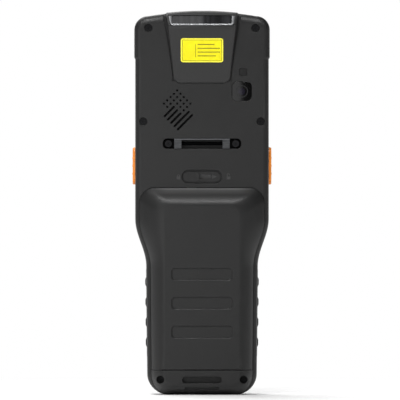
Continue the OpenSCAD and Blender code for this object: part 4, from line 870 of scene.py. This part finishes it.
def satin(name, code, roughness=0.36, gloss=0.45):
    """Satin coloured plastic: even colour with soft clouds and a fine polished unevenness."""
    f = Finish(name, Specular_IOR_Level=gloss)
    cloud, fine = f.noise(120, 3), f.noise(2600, 2)
    return f.filled(f.tones(cloud, srgb(code, 0.94), srgb(code, 1.05)),
                    cloud * 0.1 + (fine * 0.06 + (roughness - 0.08)), fine, 0.12, 0.03)


def side_stack(name, side, z, rows):
    """Closed skin through rounded rectangles that face sideways, each row w, h, r and place x."""
    return loft(name, [
        (ring(pad_half(w, h, r, 13), x) + (SIDE_Y, 0, z))[:, [1, 0, 2]] * (side, 1, 1)
        for w, h, r, x in rows])


def trigger(name, side):
    """Flange, straight wall and a quarter circle of 0.6 mm round a flat face, then three ribs with
    elliptic sections."""
    w, h, r = CAP
    wall_end = BUTTON_X - CAP_ROUND
    a = quarter(8)
    rows = [(*FLANGE, FLANGE_X[0]), (*FLANGE, FLANGE_X[1]), (*CAP, FLANGE_X[1]), (*CAP, wall_end)]
    rows += [(w - 2 * d, h - 2 * d, r - d, wall_end + CAP_ROUND * s)
             for d, s in zip(CAP_ROUND * (1 - np.cos(a[1:])), np.sin(a[1:]))]
    rib = [(*(c * np.array(RIB)), BUTTON_X - RIB_SUNK + RIB_PROUD * s)
           for c, s in zip(np.cos(a[:-1]), np.sin(a[:-1]))]
    ribs = [side_stack("rib", side, BUTTON_Z + RIB_PITCH * k, rib) for k in (-1, 0, 1)]
    return smooth(merged(name, [side_stack(name, side, BUTTON_Z, rows), *ribs]), 50)


orange = satin("orange plastic", "#ee8c30")
for side, hand in ((-1, "left"), (1, "right")):
    button = link("trigger_" + hand, trigger("trigger " + hand, side), orange)
    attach(button, "scan_button_" + hand)
    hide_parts("scan_button_" + hand)
dress(satin("switch housing", "#c9cbc4", 0.45), "trigger_switches")

# ----------------------------------------
# Display: a chemically hardened pane, printed black round the active area, bonded flush into
# the front housing over a transflective panel. Switched off, the panel is a dull grey-green.
SCREEN = (0, 137.25, 50, 83)  # place x and z, width, height of the active area
DOT_PITCH = 0.24


def hardened_glass():
    """Glass gloss over a print: black border with a fine silver line round the grey-green panel,
    whose dots are the product of two sine waves."""
    f = Finish("hardened glass", Specular_IOR_Level=0.6, Coat_Weight=0.3, Coat_Roughness=0.02)
    x, _, z = f.axes()
    cx, cz, w, h = SCREEN
    panel = f.box(x, z, cx, cz, w - 1, h - 1)
    edge = f.box(x, z, cx, cz, w - 0.4, h - 0.4) * (1 - panel)
    turn = 2 * np.pi / DOT_PITCH
    dot = x.math("SINE", z * turn) * x.math("SINE", x * turn)
    smear = f.noise(45, 4, 0.6)
    plain = f.tones(smear, srgb("#262c2a"), srgb("#2f3634"))
    dots = f.blend(panel * (dot > 0.3) * 0.35, plain, srgb("#1c211f"))
    colour = f.blend(panel, srgb("#070708"), dots)
    return f.filled(f.blend(edge, colour, srgb("#3b3d3f")), smear * 0.07 + 0.03)


refined("display_pane", "display_glass", "housing", hardened_glass(), 0.25, 3)
dress(satin("panel back", "#3a4450", 0.3), "display_module")

# ----------------------------------------
# Status light: a short light pipe of clear, slightly green acrylic, pressed into the front
# housing beside the earpiece slot.
refined("status_pipe", "status_light", "housing", frosted("clear light pipe", "#a9c4a2", 0.5),
        0.1)

# ----------------------------------------
# Keys: caps of hard plastic moulded with a slight crown, each over a snap dome. The figures are
# laser-etched pale into black caps; the scan key is orange, and the power key red.
COL, ROW, ROW_LOW = 15.0, 10.6, 26.0  # pitch across and up, height of the lowest row
CAP_TOP, CAP_CROWN, PROUD = Y_FACE - 0.05, 40.0, 0.045  # a cap's top, its radius, a figure's rise
cap_black, cap_grey, cap_red = (satin("key " + tone, code, 0.42) for tone, code in (
    ("black", "#252627"), ("grey", "#46494c"), ("red", "#97382e")))
etched = satin("etched legend", "#d6d8d4", 0.6, 0.2)


def on_cap(flat, x, z):
    """Points of a figure laid over the cap's sphere, in metres: y falls by r^2 / 2R, and seen from
    the front x runs to the left."""
    y = CAP_TOP + PROUD - (flat ** 2).sum(1) / (2 * CAP_CROWN)
    return columns(x - flat[:, 0], y, z + flat[:, 1]) * MM


def sign_on_cap(name, outlines, x, z):
    """Flat sign from closed outlines, its faces turned to the front."""
    starts = np.cumsum([0] + [len(o) for o in outlines])
    faces = [list(range(a, b)) for a, b in zip(starts[:-1], starts[1:])]
    mesh = bpy.data.meshes.new(name)
    mesh.from_pydata(on_cap(np.concatenate(outlines), x, z).tolist(), [], faces)
    with editing(mesh) as work:
        for each in work.faces:
            each.normal_update()
            if each.normal.y < 0:
                each.normal_flip()
        bmesh.ops.triangulate(work, faces=work.faces)
    return mesh


def figure_on_cap(name, text, size, x, z):
    """A figure from the built-in font as flat faces."""
    curve = bpy.data.curves.new(name, "FONT")
    curve.body, curve.size = text, size
    curve.align_x, curve.align_y = "CENTER", "CENTER"
    curve.resolution_u = 6
    carrier = link(name, curve)
    mesh = evaluated_mesh(carrier)
    bpy.data.objects.remove(carrier)
    flat = taken(mesh.vertices, "co", float, 3)[:, :2]
    mesh.vertices.foreach_set("co", on_cap(flat, x, z).ravel())
    mesh.update()
    mesh.name = name
    return mesh


def arc(r, a0, a1, width, n=24):
    """Band along a circle of radius r from angle a0 to a1 in degrees."""
    a = np.radians(np.linspace(a0, a1, n))
    turn = columns(np.cos(a), np.sin(a))
    return np.concatenate([turn * (r + width / 2), turn[::-1] * (r - width / 2)])


def bar(x0, z0, x1, z1):
    return np.array([(x0, z0), (x1, z0), (x1, z1), (x0, z1)], float)


ARROW_HALF = np.array([(-2.3, 0), (-0.7, 1.3), (-0.7, 0.7), (-1.4, 0)], float)
CODE_BARS = ((-3, 0.5), (-2.1, 0.25), (-1.5, 0.7), (-0.4, 0.25),
             (0.2, 0.25), (0.8, 0.7), (1.9, 0.25), (2.5, 0.5))  # start and width of each
DASH = [bar(-1.6, -0.25, 1.6, 0.25)]
SIGNS = {
    "scan": [bar(x, -1.7, x + w, 1.7) for x, w in CODE_BARS],
    "power": [arc(1.55, -235, 55, 0.42, 32), bar(-0.21, 0.3, 0.21, 2.1)],
    "back": [bar(-1.2, -0.21, 2.2, 0.21), ARROW_HALF, ARROW_HALF[[0, 3, 2, 1]] * (1, -1)],
    "soft_left": DASH,
    "soft_right": DASH}
# Text, size and drop of each figure; an asterisk stands high on its line.
FIGURES = {"ok": ("OK", 3.6, 0), "star": ("*", 8, 1.2), "hash": ("#", 4.8, 0),
           **{str(k): (str(k), 4.8, 0) for k in range(10)}}
CAPS = {"scan": orange, "power": cap_red, "ok": cap_grey, "back": cap_grey,
        "soft_left": cap_grey, "soft_right": cap_grey}
SLOTS = {"scan": "orange_plastic", "power": "power_key"}
# Column and row of each key: columns count to +X from the middle, rows upwards.
PLACES = {"scan": (0, 5), "soft_left": (1.113, 5), "soft_right": (-1.113, 5),
          "power": (1, 4), "ok": (0, 4), "back": (-1, 4),
          "star": (1, 0), "0": (0, 0), "hash": (-1, 0),
          **{str(3 * (3 - r) + c + 1): (1 - c, r) for r in (1, 2, 3) for c in (0, 1, 2)}}
for key, (column, row) in PLACES.items():
    node, slot = "key_" + key, SLOTS.get(key, "key_plastic")
    refined("cap_" + key, node, node, CAPS.get(key, cap_black), 0.3, 3, 28)
    x, z = column * COL, ROW_LOW + row * ROW
    if key in SIGNS:
        mark = sign_on_cap("legend " + key, SIGNS[key], x, z)
    else:
        text, size, drop = FIGURES[key]
        mark = figure_on_cap("legend " + key, text, size, x, z - drop)
    legend = link("legend_" + key, mark, etched)
    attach(legend, node)

# ----------------------------------------
# Keypad mat: a silicone sheet with moulded domes, one under each cap, that lies on the key board
# and is held down by the face of the front housing.
dress(rubber, "keypad_mat")

# ----------------------------------------
# Boards: a main board in the head and a key board behind the keypad, both of green fibreglass
# with a solder mask over copper, and both screwed down.


def circuit():
    """Solder mask over copper: tracks as a bricked network of lines, pads as small bright spots."""
    f = Finish("circuit board", Specular_IOR_Level=0.5)
    cells = f.node("ShaderNodeTexVoronoi", {"feature": "DISTANCE_TO_EDGE", "distance": "MANHATTAN"},
                   {"Vector": f.place(), "Scale": 260.0})
    spots = f.node("ShaderNodeTexVoronoi", {"feature": "F1"}, {"Vector": f.place(), "Scale": 420.0})
    mask = f.noise(500, 2)
    green = f.tones(mask, srgb("#17492d"), srgb("#1f5f3a"))
    tracks = f.blend(cells < 0.05, green, srgb("#2c7a4c"))
    padded = f.blend(spots < 0.12, tracks, srgb("#b8a468"))
    return f.filled(padded, mask * 0.15 + 0.3, cells, 0.2, 0.04)


dress(circuit(), "main_board", "key_board")

# ----------------------------------------
# Steel parts on the boards: their screws, the charging port's shell, the card socket and the
# vibration motor's can, all bright stampings or turned parts that are soldered or screwed down.
dress(painted_metal("plain steel", "#8f9193", 0.34, (0.2, 1, 1), 0.9),
      "board_screws", "vibration_motor", "usb_port", "sim_socket")

# ----------------------------------------
# Scan engine: a closed brown resin block with the laser and its mirror inside, seated in a
# chamber behind the scan window.
dress(satin("engine housing", "#4a423b", 0.5), "scan_engine")

# ----------------------------------------
# Battery contacts: gold-plated spring tongues in the bay, and the gold pads on the battery case
# that they meet when the pack is closed.
dress(painted_metal("gold plating", "#cda64e", 0.25, metal=1.0), "battery_contacts", "battery_pads")

# ----------------------------------------
# Battery pack: its cover is the back of the grip, a moulding in the housing's own charcoal that
# bulges out by 7 mm. Three shallow trays across it stop the hand from slipping. The pack hangs
# by two hooks at the foot and swings out once its latch is open.
TRAY = (30, 5.8, 1.6, 0.55)  # width, height, corner radius, radius round the mouth
TRAY_LOW, TRAY_PITCH = 31.4, 14.45  # height of the lowest, and from each to the next
tray_lips = merged("tray lips", [
    lip(0, TRAY_LOW + TRAY_PITCH * k, *TRAY, pack_face) for k in range(3)])
LIP_HIGHLIGHT_FROM, LIP_HIGHLIGHT_OVER = 99.8, 3.4  # the painted highlight on the upper lip: its start, and the height over which it lightens


def cover_plastic():
    """The housing's plastic, with a painted highlight that lightens the upper lip along its middle.
    """
    f, plain = grained("battery plastic", "#232323", 0.38)
    x, _, z = f.axes()
    across = f.ramp(abs(x) / 30, (0.6, (1, 1, 1, 1)), (0.95, (0, 0, 0, 1)))
    # Painted highlight: towards the seam and the middle, the colour turns to a pale grey.
    rim = f.ramp((z - LIP_HIGHLIGHT_FROM) / LIP_HIGHLIGHT_OVER,
                 (0.0, (0, 0, 0, 1)), (0.75, (0.35, 0.35, 0.35, 1)), (0.95, (1, 1, 1, 1)))
    f.feed("Base Color", f.blend(across * rim, plain, srgb("#747474")))
    return f.material


cover = link("pack_cover", smooth(carve(
    cad_copy("battery_cover"),
    ("INTERSECT", loft("pack skin", pack_rings(HAIR))),
    ("DIFFERENCE", tray_lips))), cover_plastic())
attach(cover, "battery_pack")
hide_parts("battery_cover")

# ----------------------------------------
# Battery case and cell: a black tray is welded into the cover and takes a flat lithium cell in
# grey shrink film.
dress(moulded("black battery plastic", "#1b1b1c", 0.55), "battery_case")


def film():
    """Shrink film: a slight sheen over long soft wrinkles along the cell."""
    f = Finish("cell film", Specular_IOR_Level=0.45)
    wrinkle, cloud = f.noise(260, 3, 0.5, (1, 1, 0.2)), f.noise(60, 2)
    return f.filled(f.tones(cloud, srgb("#566473", 0.92), srgb("#566473", 1.06)),
                    wrinkle * 0.15 + 0.3, wrinkle, 0.3, 0.15)


dress(film(), "battery_cell")

# ----------------------------------------
# Latch: a sliding knob of the housing's plastic in a stadium-shaped recess, screwed through its
# stem to the bolt inside. Moulded signs show both ends: a closed and an open padlock, and an
# arrow on the recess's floor that the knob uncovers.
refined("latch_slider", "latch_knob", "latch", charcoal, 0.18, 3)
# Grey acetal; its light tone is also painted light, so that where the bolt shows through the shaded
# slot it stays near the housing's tone.
refined("latch_plate", "latch_bolt", "latch", moulded("grey acetal, lightened against shade", "#606060", 0.45),
        0.1)
RECESS_FLOOR = Y_BACK + 0.4
SIGN_RISE, SIGN_SUNK = 0.07, 0.1  # how far a sign stands proud, and how far its foot is sunk


def raised(name, outlines, x, z, face):
    """Signs moulded 0.07 mm proud of a surface at depth face: each outline becomes a closed prism
    whose upper edge is drawn in by 6 percent."""
    points, faces, start = [], [], 0
    for low in outlines:
        n, middle = len(low), low.mean(0)
        top = middle + (low - middle) * 0.94
        points += [np.insert(low, 1, face + SIGN_SUNK, 1), np.insert(top, 1, face - SIGN_RISE, 1)]
        i = np.arange(n)
        ends = [(i + start).tolist(), (i + n + start).tolist()]
        faces += (tube_quads(2, n) + start).tolist() + ends
        start += 2 * n
    return smooth(mesh_of(name, np.concatenate(points) + (x, 0, z), faces))


def padlock(lift):
    """Padlock in outlines: a body, and a shackle that is raised by lift."""
    return [bar(-0.95, -1.35, 0.95, 0.15), arc(0.62, 0, 180, 0.34) + (0, 0.35 + lift),
            bar(-0.79, 0.15, -0.45, 0.4 + lift), bar(0.45, 0.15 + lift * 0.8, 0.79, 0.4 + lift)]


LATCH_SIGNS = {
    "closed_sign": (padlock(0), -11.7, back_face),
    "open_sign": (padlock(0.55), 13.2, back_face),
    "arrow_sign": ([np.array([(-1, -1.2), (1.4, 0), (-1, 1.2)], float)], 6.0, RECESS_FLOOR)}
sign_plastic = moulded("moulded sign", "#3a3a3a", 0.45, grain=0.2)
for name, (outlines, x, face) in LATCH_SIGNS.items():
    sign = link(name, raised(name, outlines, x, LATCH_Z, face), sign_plastic)
    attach(sign, "housing")

# ----------------------------------------
# Port cover: a rubber flap in the foot that turns on a thin pin and keeps dust from the charging
# port, a plain steel shell.
refined("port_flap", "port_cover", "port_cover", rubber, 0.12)

# ----------------------------------------
# Board under the terminal: matt paper, white enough near the object to keep its shadow. Further
# out, what the camera, gloss and glass see of it turns to plain white.
BOARD_HALF = 3.0
WHITE_FROM, WHITE_TO = 0.08, 0.35  # metres from the origin
corners = [(-1, -1), (1, -1), (1, 1), (-1, 1)]
board_mesh = bpy.data.meshes.new("floor")
board_mesh.from_pydata(
    [(x * BOARD_HALF, y * BOARD_HALF, 0) for x, y in corners], [], [(0, 1, 2, 3)])


def ray(owner, kind):
    """1 for rays of one kind, 0 for all others."""
    return owner.node("ShaderNodeLightPath", out=f"Is {kind} Ray")


def shaders(owner, factor, below, above):
    """Shader that is below where factor is 0 and above where it is 1."""
    return owner.node("ShaderNodeMixShader", {}, {0: factor, 1: below, 2: above})


def white_paper():
    """Paper whose shader gives way to an even white glow with distance, for the rays that show."""
    f = Finish("floor paper", Specular_IOR_Level=0.2)
    fibre, cloud = f.noise(900, 3), f.noise(30, 2)
    f.filled(f.tones(cloud, (0.88, 0.88, 0.88, 1), (0.92, 0.92, 0.92, 1)), fibre * 0.1 + 0.75,
             fibre, 0.1, 0.1)
    away = f.node("ShaderNodeMapRange", {"interpolation_type": "SMOOTHSTEP"},
                  {0: f.length(f.place()), 1: WHITE_FROM, 2: WHITE_TO, 3: 0.0, 4: 1.0})
    shows = (ray(f, "Camera") + ray(f, "Glossy") + ray(f, "Transmission") > 0.5) * away
    glow = f.node("ShaderNodeEmission", {}, {"Color": (1, 1, 1, 1), "Strength": 1.0})
    surface = shaders(f, shows, Sock(f, f.shader.outputs[0]), glow)
    f.tree.links.new(surface.socket, f.tree.nodes["Material Output"].inputs["Surface"])
    return f.material


floor = link("floor", board_mesh, white_paper())

# ----------------------------------------
# Surround: plain white for the camera and through glass. As light it is soft and comes more from
# the left. In reflections it is white behind the screen side and nearly black behind the back, so
# that the dark plastic keeps its depth.
world = bpy.data.worlds.new("studio")
bpy.context.scene.world = world
world.use_nodes = True
studio = Nodes(world.node_tree)


def along(axis, *ends):
    """Value that follows the direction along an axis, from start and stop to low and high."""
    way = studio.node("ShaderNodeTexCoord", out="Generated")
    part = studio.node("ShaderNodeSeparateXYZ", {}, {0: way}, axis)
    return studio.node("ShaderNodeMapRange", {"interpolation_type": "SMOOTHSTEP"},
                       {0: part, **dict(enumerate(ends, 1))})


def sky(strength):
    """White light from all round, of a plain strength or one that follows the direction."""
    return studio.node("ShaderNodeBackground", {}, {"Color": (1, 1, 1, 1), "Strength": strength})


white = sky(1.0)
mirrored = shaders(studio, along("Y", 0.8, 0.3, 0.0, 1.0), white, sky(along("X", -1, 1, 0.14, 0.0)))
surround = shaders(studio, ray(studio, "Glossy"), sky(along("X", -1, 1, 0.46, 0.12)), mirrored)
for kind in ("Transmission", "Camera"):
    surround = shaders(studio, ray(studio, kind), surround, white)
studio.tree.links.new(surround.socket, studio.tree.nodes["World Output"].inputs["Surface"])

# ----------------------------------------
# Lamps: soft boxes that the camera doesn't see. The front box lights the back evenly, the strips
# above draw the bright edges of the hood and the battery, and two lamps light the screen side.


def soft_box(name, place, aim, size, watts):
    """Rectangular lamp of size wide and tall at place, turned to aim."""
    data = bpy.data.lights.new(name, "AREA")
    data.shape, data.energy = "RECTANGLE", watts
    data.size, data.size_y = size
    made = link(name, data)
    made.location = place
    made.rotation_euler = (Vector(aim) - Vector(place)).to_track_quat("-Z", "Y").to_euler()
    made.visible_camera = False


middle = (0, 0, 0.1)
soft_box("front box", (-0.269, -2.2, 0.1), (-0.269, 0, 0.1), (0.6, 0.6), 1.0)
soft_box("left panel", (-0.15, -0.35, 0.1), (-0.15, 0, 0.1), (0.2, 0.4), 0.22)
soft_box("top left box", (-0.3995, -0.15, 1.3), (-0.3995, -0.15, 0), (0.8, 0.8), 1.7)
soft_box("crest strip", (-0.05, -0.95, 1.25), middle, (1.0, 0.2), 11)
soft_box("corner box", (-0.3, -0.95, 1.25), middle, (0.35, 0.2), 2.6)
soft_box("back strip", (-0.35, 0.55, 1.25), middle, (0.9, 0.4), 9)
soft_box("screen side lamp", (-0.4, 1.4, 0.7), middle, (1.0, 1.0), 9)

# ----------------------------------------
# Camera: level and straight on to the back from 4 m, with a lens so long that edges hardly
# converge; its frame is 0.2 m tall at the middle of the battery's bulge.
DISTANCE, FRAME, BULGE_Y = 4.0, 0.2, 0.005
camera_data = bpy.data.cameras.new("camera")
camera_data.sensor_width = 36
camera_data.lens = camera_data.sensor_width * (DISTANCE - BULGE_Y) / FRAME
camera = link("camera", camera_data)
camera.location = (-0.001, -DISTANCE, 0.09725)
camera.rotation_euler = (np.pi / 2, 0, 0)
bpy.context.scene.camera = camera
bpy.context.scene.view_settings.view_transform = "Standard"
